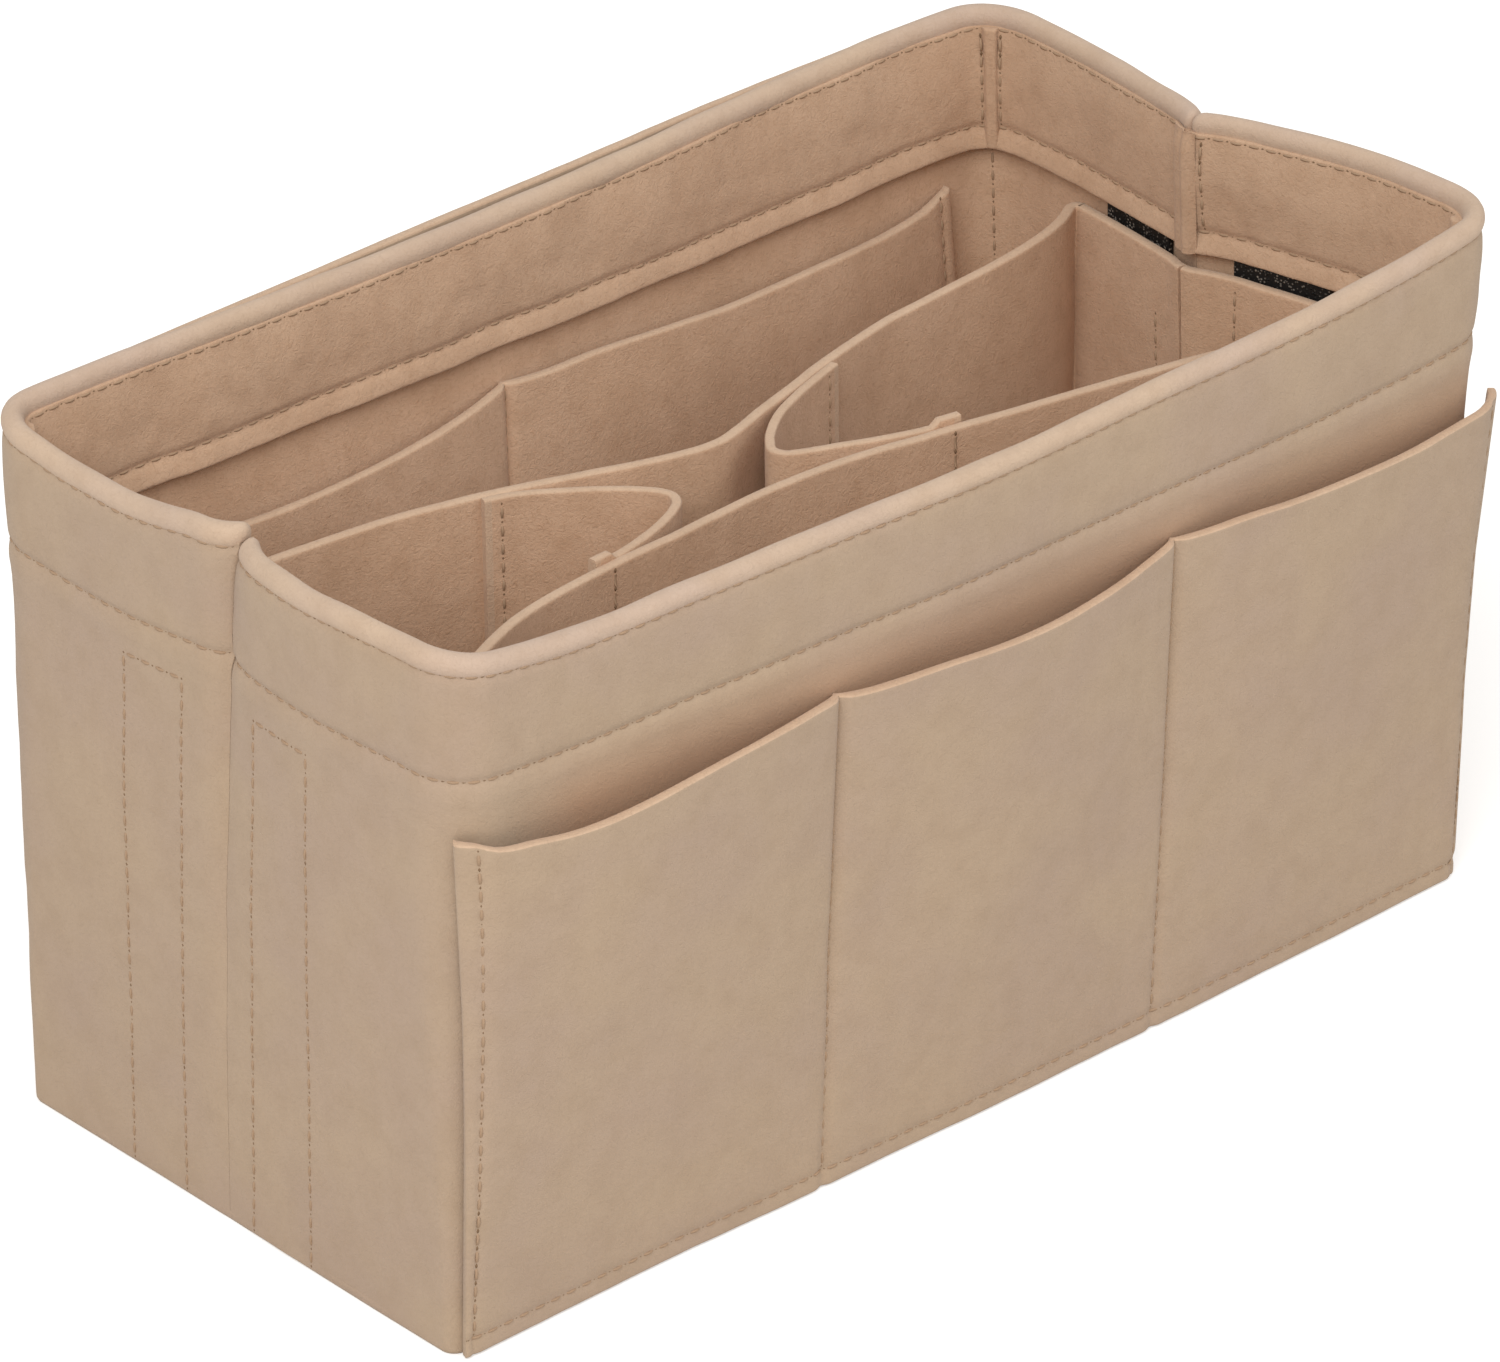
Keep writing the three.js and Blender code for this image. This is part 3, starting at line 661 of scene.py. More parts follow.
# painted shade: the dark inside each needle hole
needleHole = plainMaterial("needleHoleShadow", "#80674F", 1.0)


def finish(obj, nodes, body):
    # what the piece rides on, and the parts of the model that it stands for, which are hidden
    if body:
        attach(obj, body)
    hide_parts(*nodes)


def foldWith(obj):
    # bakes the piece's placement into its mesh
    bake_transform(obj)


# places along the walls, closer together round the corners and towards the creases
longAlong = np.concatenate([
    -np.linspace(jointAlong, straightHalf, 18)[:-1],
    np.linspace(-straightHalf, straightHalf, 200),
    np.linspace(straightHalf, jointAlong, 18)[1:]])
endSteps = np.concatenate([
    np.linspace(tub["jointY"], 22, 28)[:-1], np.linspace(22, 6, 16)[:-1],
    np.linspace(6, 0.05, 12)])
endAlong = creaseAlong - endSteps
# heights up the walls, closer together at the base and at the seams
wallRows, wallInset = feltRows(0.4, 172.0, 6.0, extra=np.concatenate([
    np.arange(1.5, 8, 0.8), np.arange(138, 150, 0.6), np.arange(150, 165, 1.5),
    np.arange(165, 171.5, 0.5)]))


# The left back corner is blown out a little below its seam: how far, at what height and over
# how much of it, and where along the wall it swells and fades again
blownOut = {"by": 1.1, "height": 100, "reach": 38, "swell": (120, 165), "fade": (170, 215)}


def outerFace(side, along, z, inset=0.0):
    # the felt that shows outside, with its seams, soft waves and a faint pucker at each stitch
    rest = wallPoint(side, along, 0, z)
    wave = ripple(rest, "wall")
    near = bell(z, tub["topStitch"], 2.5) + bell(z, tub["bandStitch"], 2.5)
    pucker = 0.09 * near * np.cos(2 * math.pi * along / stitchPitch)
    bulge = blownOut["by"] * (side > 0) * bell(z, blownOut["height"], blownOut["reach"])
    bulge = bulge * smooth(-along, *blownOut["swell"]) * (1 - smooth(-along, *blownOut["fade"]))
    return wallPoint(side, along, seamDepth(z) + wave + pucker - bulge + inset, z)


def wallFaces(side, along):
    # the felt's two faces, drawn together at its cut edges
    grid, rows = np.meshgrid(along, wallRows, indexing="ij")
    inset = np.broadcast_to(wallInset, rows.shape)
    outer = outerFace(side, grid, rows, inset)
    inner = wallPoint(side, grid, tub["wallFelt"] - inset, rows)
    return outer, inner


def facingEdge(side, along):
    # height of the facing's raw edge: a little higher along the middle of the back
    lift = 1 - smooth(along, -30, 110) - smooth(-along, 150, 200)
    return tub["facingEdge"] + (tub["backFacingLift"] * lift if side > 0 else 0.0)


def facingDepth(side, along, z):
    # the facing hangs inside the wall, puffed between its two lines of stitches, with its raw
    # edge standing a little off the wall
    edge = facingEdge(side, along)
    seam = edge + tub["facingSeam"]
    loose = tub["facingLoose"] * smooth(seam - z, 0, tub["facingSeam"])
    rest = wallPoint(side, along, 5, z)
    return loose, puffed(z, seam, "facing") + ripple(rest, "facing")


def innerFace(side, along, z, inset=0.0):
    # the facing's face that shows inside the mouth
    loose, shape = facingDepth(side, along, z)
    near = tub["wallFelt"] + tub["gap"] + tub["facingFelt"]
    return wallPoint(side, along, near + loose + shape - inset, z)


def facingFaces(side, along):
    # the facing from its raw edge up into the roll, as its two faces
    shares, insets = feltRows(0.0, 1.0, 0.05, 0.018, extra=np.arange(0.12, 0.3, 0.02))
    grid, share = np.meshgrid(along, shares, indexing="ij")
    low = facingEdge(side, grid)
    rows = low + (tub["facingTop"] - low) * share
    inset = np.broadcast_to(insets / 0.036, rows.shape)
    loose, _ = facingDepth(side, grid, rows)
    outer = wallPoint(side, grid, tub["wallFelt"] + tub["gap"] + inset + loose * 0.9, rows)
    return outer, innerFace(side, grid, rows, inset)


# Section of the rolled rim from its outer stitches over the top to the inner ones, as depth
# inside the outer felt and height; its foot is tucked into the two grooves
rimSection = np.array([
    (1.3, 170.4), (0.55, 170.8), (0.12, 171.3), (-0.18, 172.0), (-0.32, 172.8), (-0.28, 173.6),
    (-0.06, 174.4), (0.42, 175.15), (1.2, 175.74), (2.3, 176.0), (3.3, 175.76), (4.05, 175.15),
    (4.55, 174.4), (4.82, 173.6), (4.86, 172.8), (4.76, 172.0), (4.55, 171.3), (4.2, 170.8),
    (3.6, 170.4)])


def rimRings(side, along, roundEnd):
    # the section carried along the wall's edge, with soft waves in the part that shows
    middle = np.array([2.3, 173.0])
    grid = np.broadcast_to(along[:, None], (len(along), len(rimSection)))
    size = np.ones_like(grid)
    if roundEnd:
        # the roll closes to a blunt round end where it meets the crease
        toCrease = creaseAlong - np.abs(grid)
        size = np.sqrt(np.clip(1 - (1 - np.clip(toCrease / 1.5, 0.2, 1)) ** 2, 0, 1))
    section = middle + (rimSection - middle) * size[..., None]
    depth, height = section[..., 0], section[..., 1]
    wave = ripple(wallPoint(side, grid, 2.3, height), "rim")
    depth = depth + wave * np.sign(depth - 2.3) * smooth(height, 171, 173)
    return wallPoint(side, grid, depth, height + wave * 0.6 * smooth(height, 172, 175))


sideNames = {-1: "front", 1: "back"}
endNames = {-1: "left", 1: "right"}
# Layers of the tub, from outside in: slot, flat width of its sheet, and its length and area
# on a long wall and on half an end
layers = {
    "wall": {"slot": "outer_felt", "width": 172, "long": (328, None), "end": (69, None)},
    "facing": {"slot": "facing_felt", "width": 31, "long": (328, None), "end": (69, None)},
    "rim": {"slot": "rim_felt", "width": 10, "long": (328, 2900), "end": (66, 590)},
}


def addStretch(side, along, names, node, end=None):
    # wall, facing and rolled rim of a long wall, or of the half end that folds
    wallFelt = frontFelt if side < 0 and end is None else outerFelt
    # the wall's inner face takes the inside felt, with its painted bounced light
    pieces = [
        sheetObject(names[0], *wallFaces(side, along), [wallFelt, cutFelt, liningFelt], ()),
        sheetObject(names[1], *facingFaces(side, along), [facingFelt, cutFelt], ("bottom",)),
        carriedObject(names[2], rimRings(side, along, end is not None), [rimFelt])]
    for piece, (layer, size) in zip(pieces, layers.items()):
        if end is not None:
            foldWith(piece)
        finish(piece, [node + "_" + layer], "tub" if end is None else None)


for side, sideName in sideNames.items():
    names = [sideName + part for part in ("WallFelt", "FacingFelt", "RimRoll")]
    addStretch(side, longAlong, names, sideName)
    for end, endName in endNames.items():
        title = endName + sideName.capitalize()
        names = [title + part for part in ("EndFelt", "EndFacing", "EndRim")]
        addStretch(side, end * endAlong, names, endName + "_" + sideName + "_end", end)
print("walls, facings and rims made")


# Base: the plan of the walls with a rounded edge
def basePlan():
    # once round: front wall, right end, back wall and left end at their foot
    parts = []
    for side, end in ((-1, 1), (1, -1)):
        parts.append(wallPoint(side, longAlong * end, 0, 0.0)[:, :2])
        parts.append(wallPoint(side, end * endAlong[1:], 0, 0.0)[:, :2])
        parts.append(wallPoint(-side, end * endAlong[::-1][:-1], 0, 0.0)[:, :2])
    return np.concatenate(parts)


def baseObject():
    # the plan stacked in levels, drawn in where the felt's edge rounds off
    outline = basePlan()
    normal = rightOf(np.roll(outline, -1, 0) - np.roll(outline, 1, 0))
    levels = [(1.0, 0.0), (0.3, 0.25), (0.0, 0.9), (0.0, 2.4), (0.3, 2.8), (0.9, 3.0)]
    rings = np.stack([np.concatenate([outline - normal * inset, np.full((len(outline), 1), z)], 1)
                      for inset, z in levels])
    count = len(outline)
    index = np.arange(len(levels) * count).reshape(len(levels), count)
    turned = np.roll(index, -1, 1)
    faces = np.stack([index[:-1], turned[:-1], turned[1:], index[1:]], -1).reshape(-1, 4).tolist()
    faces.append(index[0][::-1].tolist())
    faces.append(index[-1].tolist())
    return meshObject("baseFelt", rings, faces, [outerFelt])


finish(baseObject(), ["base_panel"], "tub")

# Rows of pockets sewn to a long wall; ends are the places along the wall where the row starts
# and stops, at the base and at the mouth; mouth is how far each pocket stands open, endStand
# how far the row's own ends do; line is the height of the mouth along the row; foot is where
# the stitches along its foot start and stop
pockets = {
    "front": {
        "side": -1, "outside": True, "low": 0.5, "seams": [-51.14, 51.14],
        "ends": ((-148.2, -153.2), (152.6, 153.8)), "mouth": [6.0, 6.0, 5.0],
        "endStand": (0.4, 4.2), "round": 0.6,
        "line": ([-154, -150, -146, -138, -128, -118, -108, -98, -88, -78, -68, -58, -51.14, -44,
                  -34, -24, -8, 2, 13, 23, 33, 43, 51.14, 60, 70, 83, 103, 123, 133, 143, 154],
                 [131.0, 130.8, 129.0, 128.1, 126.9, 126.8, 127.5, 128.5, 129.4, 129.9, 130.3,
                  130.4, 130.0, 129.6, 129.6, 129.6, 128.7, 128.3, 128.3, 128.7, 129.4, 130.6,
                  131.2, 131.2, 131.4, 130.6, 129.6, 128.6, 128.6, 128.6, 128.4]),
        "felt": outerFelt, "slot": "outer_felt", "cut": ("top",), "flat": (324, 131),
        "area": 41000, "seamsFrom": 6.0, "foot": (-147.0, 152.0)},
    "back": {
        "side": 1, "outside": True, "low": 0.5, "seams": [],
        "ends": ((-144.0, -143.0), (144.0, 142.0)), "mouth": [3.8],
        "endStand": (0.0, 0.0), "round": 1.0,
        "line": ([-144, 0, 144], [172.0, 173.4, 172.2]),
        "felt": outerFelt, "slot": "outer_felt", "cut": ("top", "start", "end"),
        "flat": (302, 173), "area": 51000, "seamsFrom": 6.0, "foot": (-143.0, 143.0)},
    "inner": {
        "side": 1, "outside": False, "low": 3.4, "seams": [-9.5],
        "ends": ((-141.0, -139.0), (139.5, 137.6)), "mouth": [6.5, 6.0],
        "endStand": (0.0, 0.0), "round": 0.6,
        "line": ([-140, -110, -82, -54, -26, -9.5, 2, 16, 30, 44, 58, 72, 86, 100, 114, 128, 138],
                 [132.0, 129.5, 128.4, 129.0, 131.0, 132.8, 132.8, 133.4, 132.8, 131.8, 130.6,
                  130.2, 129.9, 129.5, 129.2, 130.0, 132.6]),
        "felt": liningFelt, "slot": "lining_felt", "cut": ("top", "start", "end"),
        "flat": (294, 131), "area": 37000, "seamsFrom": 9.0, "foot": None},
}
# How they lie: from what height and how late they stand open, how far up their ends do, how
# much further off they are where the wall's band lies under them, and how far and how widely
# the stitches draw them in
pocketShape = {"openFrom": 3.3, "open": 0.7, "endOpen": (14, 3),
               "band": ((0.35, 136, 142), (0.2, 150, 168)),
               "foot": (0.4, 1.2), "seam": (0.75, 1.4), "end": (0.5, 1.2)}
# Their stitches: how far from a row's ends and above its foot, and how far under its mouth the
# seams and the lines at its ends stop
pocketSeams = {"inset": 3.8, "foot": 5.0, "seamShort": 0.8, "endShort": 1.5}


def pocketShare(pocket, along):
    # which pocket of the row, and how far across it
    seams = np.array([pocket["ends"][0][1], *pocket["seams"], pocket["ends"][1][1]])
    number = np.clip(np.searchsorted(seams, along, side="right"), 1, len(seams) - 1)
    share = (along - seams[number - 1]) / (seams[number] - seams[number - 1])
    return number - 1, np.clip(share, 0, 1)


def pocketTop(pocket, along):
    return curve(along, *pocket["line"])


def pocketFace(pocket, along, z, face, drawn=0.0):
    # face 0 lies against the wall and 1 is the one that shows; the sheet stands off most in the
    # middle of its mouth and is drawn in along its seams
    top, low = pocketTop(pocket, along), pocketShape["openFrom"]
    rise = np.clip((z - low) / (top - low), 0, 1)
    number, share = pocketShare(pocket, along)
    gape = np.sin(math.pi * share) ** pocket["round"]
    stand = np.asarray(pocket["mouth"])[number] * gape * rise ** pocketShape["open"]
    start, stop = (end[1] for end in pocket["ends"])
    toEnd = np.clip(np.where(along < 0, along / start, along / stop), 0, 1)
    late, high = pocketShape["endOpen"]
    stand = stand + np.where(along < 0, *pocket["endStand"]) * toEnd ** late * rise ** high
    away = tub["gap"] + stand
    for step, start, stop in pocketShape["band"]:
        away = away + step * smooth(z, start, stop)
    (byFoot, wideFoot), (bySeam, wideSeam), (byEnd, wideEnd) = (
        pocketShape[line] for line in ("foot", "seam", "end"))
    pinch = byFoot * bell(z, pocketSeams["foot"], wideFoot)
    for seam in pocket["seams"]:
        pinch = pinch + bySeam * bell(along, seam, wideSeam)
    for base, mouth in pocket["ends"]:
        edge = base + (mouth - base) * z / top
        pinch = pinch + byEnd * bell(np.abs(along - edge), pocketSeams["inset"], wideEnd)
    rest = wallPoint(pocket["side"], along, 0, z)
    wave = ripple(rest, "pocket")
    away = away + face * (tub["pocketFelt"] - pinch + wave) + (drawn if face == 0 else -drawn)
    depth = -away if pocket["outside"] else tub["wallFelt"] + away
    return wallPoint(pocket["side"], along, depth, z)


def pocketObject(name, pocket):
    # the row's sheet on a grid of places along the wall and shares of the way up to its mouth,
    # closer together at its edges and seams
    (lowStart, highStart), (lowStop, highStop) = pocket["ends"]
    fine = [np.arange(-3, 3.1, 0.5) + seam for seam in pocket["seams"]]
    columns, columnInset = feltRows(highStart, highStop, 1.7, 0.5, extra=np.concatenate([
        highStart + np.arange(1.5, 5, 0.5), highStop - np.arange(1.5, 5, 0.5), *fine]))
    heights, rowInset = feltRows(0.0, 1.0, 0.045, 0.004, extra=np.arange(0.02, 0.07, 0.006))
    grid, share = np.meshgrid(columns, heights, indexing="ij")
    inset = np.maximum(*np.meshgrid(columnInset, rowInset / 0.008, indexing="ij"))
    z = pocket["low"] + (pocketTop(pocket, grid) - pocket["low"]) * share
    # the row is a little wider or narrower at its base than at its mouth
    toStart = smooth(grid, highStart, highStart + 25)
    toStop = smooth(-grid, -highStop, -highStop + 25)
    along = grid + (1 - share) * ((lowStart - highStart) * (1 - toStart)
                                  + (lowStop - highStop) * (1 - toStop))
    near, shown = (pocketFace(pocket, along, z, face, inset) for face in (0, 1))
    return sheetObject(name, shown, near, [pocket["felt"], cutFelt], pocket["cut"])


for name, pocket in pockets.items():
    finish(pocketObject(name + "PocketFelt", pocket), [name + "_pocket_panel"],
           "tub")
print("pocket panels made")


# Raised strips of the facing: depths of their faces, and how far they stand out
raised = {"under": 5.2, "over": 5.6, "weltHalf": 2.6, "weltOut": 1.5, "weltTop": 171.6,
          "tuckOut": 1.6}
creaseTucks = {-1: {"across": (-3.0, 3.0), "top": 169.4, "flat": (10, 31), "area": 235},
               1: {"across": (-3.4, 4.6), "top": 172.4, "flat": (11, 32), "area": 330}}


def cornerWelt(end, side):
    # the facing's corner seam: its allowance lies flat as a narrow raised strip
    across = np.linspace(-1, 1, 21)
    heights, insets = feltRows(tub["facingEdge"] + 0.2, raised["weltTop"], 2.0, 0.4)
    grid, rows = np.meshgrid(across, heights, indexing="ij")
    along = end * (cornerMiddle + grid * raised["weltHalf"])
    ridge = raised["weltOut"] * (1 - np.abs(grid) ** 6)
    return sheetObject(endNames[end] + sideNames[side].capitalize() + "CornerWelt",
                       wallPoint(side, along, raised["under"], rows),
                       wallPoint(side, along, raised["over"] + ridge - insets, rows),
                       [facingFelt, cutFelt], ())


def creaseTuck(end):
    # pin tuck sewn into the facing over the crease, up into the roll
    size = creaseTucks[end]
    across = np.linspace(*size["across"], 25)
    heights, _ = feltRows(tub["facingEdge"] + 0.2, size["top"], 2.0, 0.4)
    grid, rows = np.meshgrid(across, heights, indexing="ij")
    share = (grid - across[0]) / (across[-1] - across[0])
    ridge = raised["tuckOut"] * (1 - np.abs(2 * share - 1) ** 5)
    ridge = ridge * (1 - 0.8 * smooth(rows, size["top"] - 5, size["top"]))
    # its front edge stands clear of the front half, which folds a little further in there
    clear = smooth(-grid, -0.5, 1.0)
    y = grid + 0.6 + creaseLean(end, rows)
    dip = np.maximum(*(sagAt(side, end * creaseAlong, rows) for side in (-1, 1)))
    faces = []
    for depth in (raised["under"] + 1.5 * clear, raised["over"] + ridge + 0.9 * clear):
        plan = np.zeros(grid.shape)
        for side in (-1, 1):
            near = grid * side >= 0
            plan[near] = endLayerX(end, side, np.abs(grid[near]), rows[near], depth[near])
        faces.append(np.stack([end * plan, y, rows - dip], -1))
    return sheetObject(endNames[end] + "CreaseTuck", *faces, [facingFelt, cutFelt], ())


# Tapes on each half end: distances from its crease, depths inside the outer felt, and how the
# pieces are called and carried; the loop tape is a little smaller all round
tapeSize = {"near": 10.0, "far": 35.0, "bottom": 10.0}
tapes = {
    "Hook": {"depths": (3.2, 4.9), "inset": 0.0, "top": 140.0, "flat": (25, 130),
             "material": hookWeave, "part": "", "on": "_end_wall"},
    "Loop": {"depths": (5.0, 6.0), "inset": 1.0, "top": 135.0, "flat": (23, 124),
             "material": loopWeave, "part": "pouch_", "on": "_flap"},
}


def tapeObject(name, end, side, tape):
    # a flat strip between two depths of the wall, drawn together at its edges
    inset = tape["inset"]
    y, yInset = feltRows(tapeSize["near"] + inset, tapeSize["far"] - inset, 1.2, 0.3)
    heights, zInset = feltRows(tapeSize["bottom"] + inset, tape["top"], 4.0, 0.3)
    grid, rows = np.meshgrid(end * (creaseAlong - y), heights, indexing="ij")
    drawn = np.maximum(*np.meshgrid(yInset, zInset, indexing="ij"))
    outer, inner = tape["depths"]
    return sheetObject(name, wallPoint(side, grid, outer + drawn, rows),
                       wallPoint(side, grid, inner - drawn, rows), [tape["material"]] * 2, ())


for side, sideName in sideNames.items():
    for end, endName in endNames.items():
        node = endName + "_" + sideName
        finish(cornerWelt(end, side), [node + "_corner_seam"], "tub")
        for kind, tape in tapes.items():
            piece = tapeObject(endName + sideName.capitalize() + kind + "Tape", end, side, tape)
            slot, part = kind.lower(), tape["part"] + node
            finish(piece, [part + "_" + slot + "_strip"], part + "_end")
for end, endName in endNames.items():
    finish(creaseTuck(end), [endName + "_crease_tuck"], endName + "_back_end")
print("tapes, welts and tucks made")

# Pouch: two long walls drawn in between the dividers, and end flaps against the tapes
pouch = {
    "foot": 3.4, "top": 137.0, "felt": 2.8, "dividerFelt": 2.4, "innerHalf": 43.3,
    "cutX": 124.0, "flapDepth": 6.1, "flapCorner": 3.0,
    "dividerTab": 1.6,  # how far a divider's end stands up at the front wall
    "dividerFlat": {"left": 87, "right": 95},
    # a flap turns across its corner: which way in plan, how far at least and at what height
    "turnAhead": (0.886, -0.464), "turnReach": 8.9, "turnHeight": 70,
}
# Plan of the middle of each long wall and of each divider, which starts at the back wall, bends
# round its nose and ends at the front wall
pouchPlan = {
    1: ([-148.6, -140, -125, -106.5, -95.5, -85, -74.5, -64.9, -55.2, -45.9, -36.8, -27.7, -18.5,
         -9, -3, 3, 10, 18, 27, 35.4, 44.3, 52.6, 61.2, 70, 83, 97.5, 112, 127, 137, 145, 148.6],
        [44.6, 44.2, 42.2, 39.8, 38.6, 37.3, 35.6, 33.3, 30.6, 27.6, 24.3, 20.9, 17.6, 14.6, 13.3,
         13.3, 15.0, 17.5, 20.0, 22.4, 25.0, 27.2, 29.2, 30.8, 32.2, 33.6, 35.1, 37.4, 40.2, 43.8,
         44.6]),
    -1: ([-148.6, -140, -125, -105, -88, -72.5, -59, -46.6, -35, -22.5, -8, 2.6, 15, 25, 35, 46.6,
          57, 67.5, 84, 100, 118, 135, 145, 148.6],
         [44.6, 42.5, 35.5, 25, 18.4, 15.7, 14.2, 13.6, 13.4, 12.8, 12.0, 12.4, 13.3, 15.0, 17.2,
          19.2, 21.6, 23.8, 27.1, 30.5, 35, 40.5, 43.8, 44.6]),
}
pouchDividers = {
    "left": [(-56.2, 28.6), (-52, 27.2), (-47.5, 25.0), (-40.3, 20.0), (-33.2, 14.4), (-27, 8.2),
             (-24.2, 4.2), (-23.5, 1.4), (-24.8, -1.6), (-28.3, -4.2), (-34.1, -6.9), (-43.1, -9.7),
             (-51.1, -11.3), (-59.6, -11.9)],
    "right": [(47.2, 23.4), (43.3, 22.2), (38.5, 20.7), (34.1, 19.3), (28.6, 17.2), (22.5, 14.6),
              (15.6, 10.2), (10, 5.1), (7.6, 1.3), (8.6, -1.6), (11.6, -3.5), (15.9, -5.5),
              (20.2, -7.3), (24.4, -9.3), (28.7, -11.2), (33.4, -13.0), (38, -14.6), (43, -15.9),
              (48.2, -16.9)],
}


def pouchInnerY(side, x):
    # inner face of a long wall of the pouch
    return side * (curve(x, *pouchPlan[side]) - pouch["felt"] / 2)


def pouchSlope(side, x):
    # how steeply a long wall runs along Y there
    return (pouchInnerY(side, x + 0.3) - pouchInnerY(side, x - 0.3)) / 0.6


def pouchWallPoint(side, x, face, z):
    # face 0 is inside the pouch and 1 outside
    slope = pouchSlope(side, x)
    length = np.hypot(1, slope)
    away = face * pouch["felt"] * side
    return np.stack([x - slope / length * away, pouchInnerY(side, x) + away / length, z], -1)


def pouchWallFace(side, x, z, face, drawn=0.0):
    # one face of a long wall, with its waves, drawn in at the cut edges
    wave = ripple(pouchWallPoint(side, x, 1, z), "pouch")
    offset = (wave - drawn) if face else (wave + drawn)
    return pouchWallPoint(side, x, face + offset / pouch["felt"], z)


def pouchWallObject(side):
    x = np.linspace(-pouch["cutX"], pouch["cutX"], 190)
    heights, inset = feltRows(pouch["foot"], pouch["top"], 5.0, 0.5)
    grid, z = np.meshgrid(x, heights, indexing="ij")
    outer, inner = (pouchWallFace(side, grid, z, face, inset) for face in (1, 0))
    return sheetObject("pouch" + sideNames[side].capitalize() + "Felt", outer, inner,
                       [liningFelt, cutFelt])


def pouchFlapPath(end, side, z):
    # plan of the flap piece at each height: along the long wall, round a tight corner and
    # along the end wall to the crease, as points and outward normals, on the positive side
    turn = pouch["flapCorner"]
    straight = np.linspace(0, 1, 22)[:-1]
    bend = np.linspace(0, math.pi / 2, 9)
    q = np.linspace(pouch["innerHalf"] + pouch["felt"] - turn, 0.01, 44)[1:]
    plans = []
    for height in z:
        level = np.full_like(q, height)
        x3 = endLayerX(end, side, q, level, np.full_like(q, pouch["flapDepth"]))
        y3 = side * endY(end, side, q, level)
        cornerX, cornerY = x3[0] - turn, y3[0]
        x1 = pouch["cutX"] + (cornerX - pouch["cutX"]) * straight
        slope = pouchSlope(side, end * x1) * end * side
        length = np.hypot(1, slope)
        y1 = np.abs(pouchInnerY(side, end * x1)) + pouch["felt"] / length
        y1 = y1 + (cornerY + turn - y1[-1]) * straight ** 2
        x1 = x1 - slope / length * pouch["felt"] * (1 - straight)
        x2 = cornerX + turn * np.sin(bend)
        y2 = cornerY + turn * np.cos(bend)
        plans.append(np.stack([np.concatenate([x1, x2, x3]), np.concatenate([y1, y2, y3])], -1))
    path = np.stack(plans, 1)
    return path, -rightOf(np.gradient(path, axis=0))


def pouchFlapObject(end, side):
    # the flap's plan at each height, given its thickness and waves along the normals
    heights, inset = feltRows(pouch["foot"], pouch["top"], 5.0, 0.5)
    path, normal = pouchFlapPath(end, side, heights)
    drawn = np.broadcast_to(inset, path.shape[:2])
    rows = np.broadcast_to(heights, path.shape[:2])
    wave = ripple(np.stack([path[..., 0], path[..., 1] * side, rows], -1), "pouch")
    outer = path + normal * (wave - drawn)[..., None]
    inner = path + normal * (wave + drawn - pouch["felt"])[..., None]
    place = [np.stack([end * face[..., 0], side * face[..., 1], rows], -1)
             for face in (outer, inner)]
    name = "pouch" + endNames[end].capitalize() + sideNames[side].capitalize() + "Flap"
    return sheetObject(name, *place, [liningFelt, cutFelt])


def dividerPath(points, count=100):
    # a smooth curve through the points, in even steps
    points = np.array(points, float)
    length = lengthAlong(points)
    places = np.linspace(0, length[-1], count)
    return np.stack([curve(places, length, points[:, k]) for k in range(2)], -1)


def dividerObject(name, divider):
    # the path's two sides, half a felt apart, carried up to the pouch's top
    path = dividerPath(divider)
    normal = rightOf(np.gradient(path, axis=0))
    heights, inset = feltRows(pouch["foot"], pouch["top"], 5.0, 0.45)
    half = pouch["dividerFelt"] / 2 - np.broadcast_to(inset, (len(path), len(heights)))
    # the end sewn to the front wall stands up a little as a tab
    tab = pouch["dividerTab"] * smooth(np.linspace(0, 1, len(path)), 0.92, 0.94)[:, None]
    rows = heights + tab * (heights > 100)
    faces = [np.concatenate([path[:, None] + normal[:, None] * (away * half)[..., None],
                             rows[..., None]], -1) for away in (1, -1)]
    return sheetObject(name, *faces, [liningFelt, cutFelt], ("top", "start", "end"))


for side, sideName in sideNames.items():
    finish(pouchWallObject(side), ["pouch_" + sideName + "_wall"], "pouch")
    for end, endName in endNames.items():
        node = "pouch_" + endName + "_" + sideName
        flap = pouchFlapObject(end, side)
        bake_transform(flap)
        finish(flap, [node + "_flap"], None)
for name, divider in pouchDividers.items():
    piece = dividerObject("pouch" + name.capitalize() + "Divider", divider)
    finish(piece, ["pouch_" + name + "_divider"], "pouch")
print("pouch made")


# Stitches: every line sewn through the felt, carried by the body that its felt rides on
seams = {
    "besideWelt": 3.3, "besideTuck": 3.7, "strip": (147.0, 169.5),  # beside the raised strips
    "corner": (60.0, 139.0),  # on down the corner of the wall
    "shortOfCrease": 1.2,
    # the hook tape's, seen outside: from the crease, at the base and at the top, by side
    "tape": {1: ((16.5, 13.5), (37.0, 33.0)), -1: ((8.0, 11.0), (26.5, 30.0))},
    "tapeHeights": (1.6, 134.5),
    "pouchLow": 6.0, "dividerEnd": 4.2,
    # a flap's two, inside: from the crease, and how high they end, by side
    "flap": {1: ((33.0, 88.0), (12.5, 122.0)), -1: ((33.0, 88.0), (11.0, 135.0))},
    "flapHeights": (8.0, 134.0),
}


def facingSeamFace(side, along, above):
    # the facing's face, by how far above its raw edge
    return innerFace(side, along, facingEdge(side, along) + above)


def wallInside(side, along, z):
    return wallPoint(side, along, tub["wallFelt"], z)


def pocketShown(pocket, along, z):
    return pocketFace(pocket, along, z, 1)


def pouchShown(side, x, z):
    return pouchWallFace(side, x, z, 1)


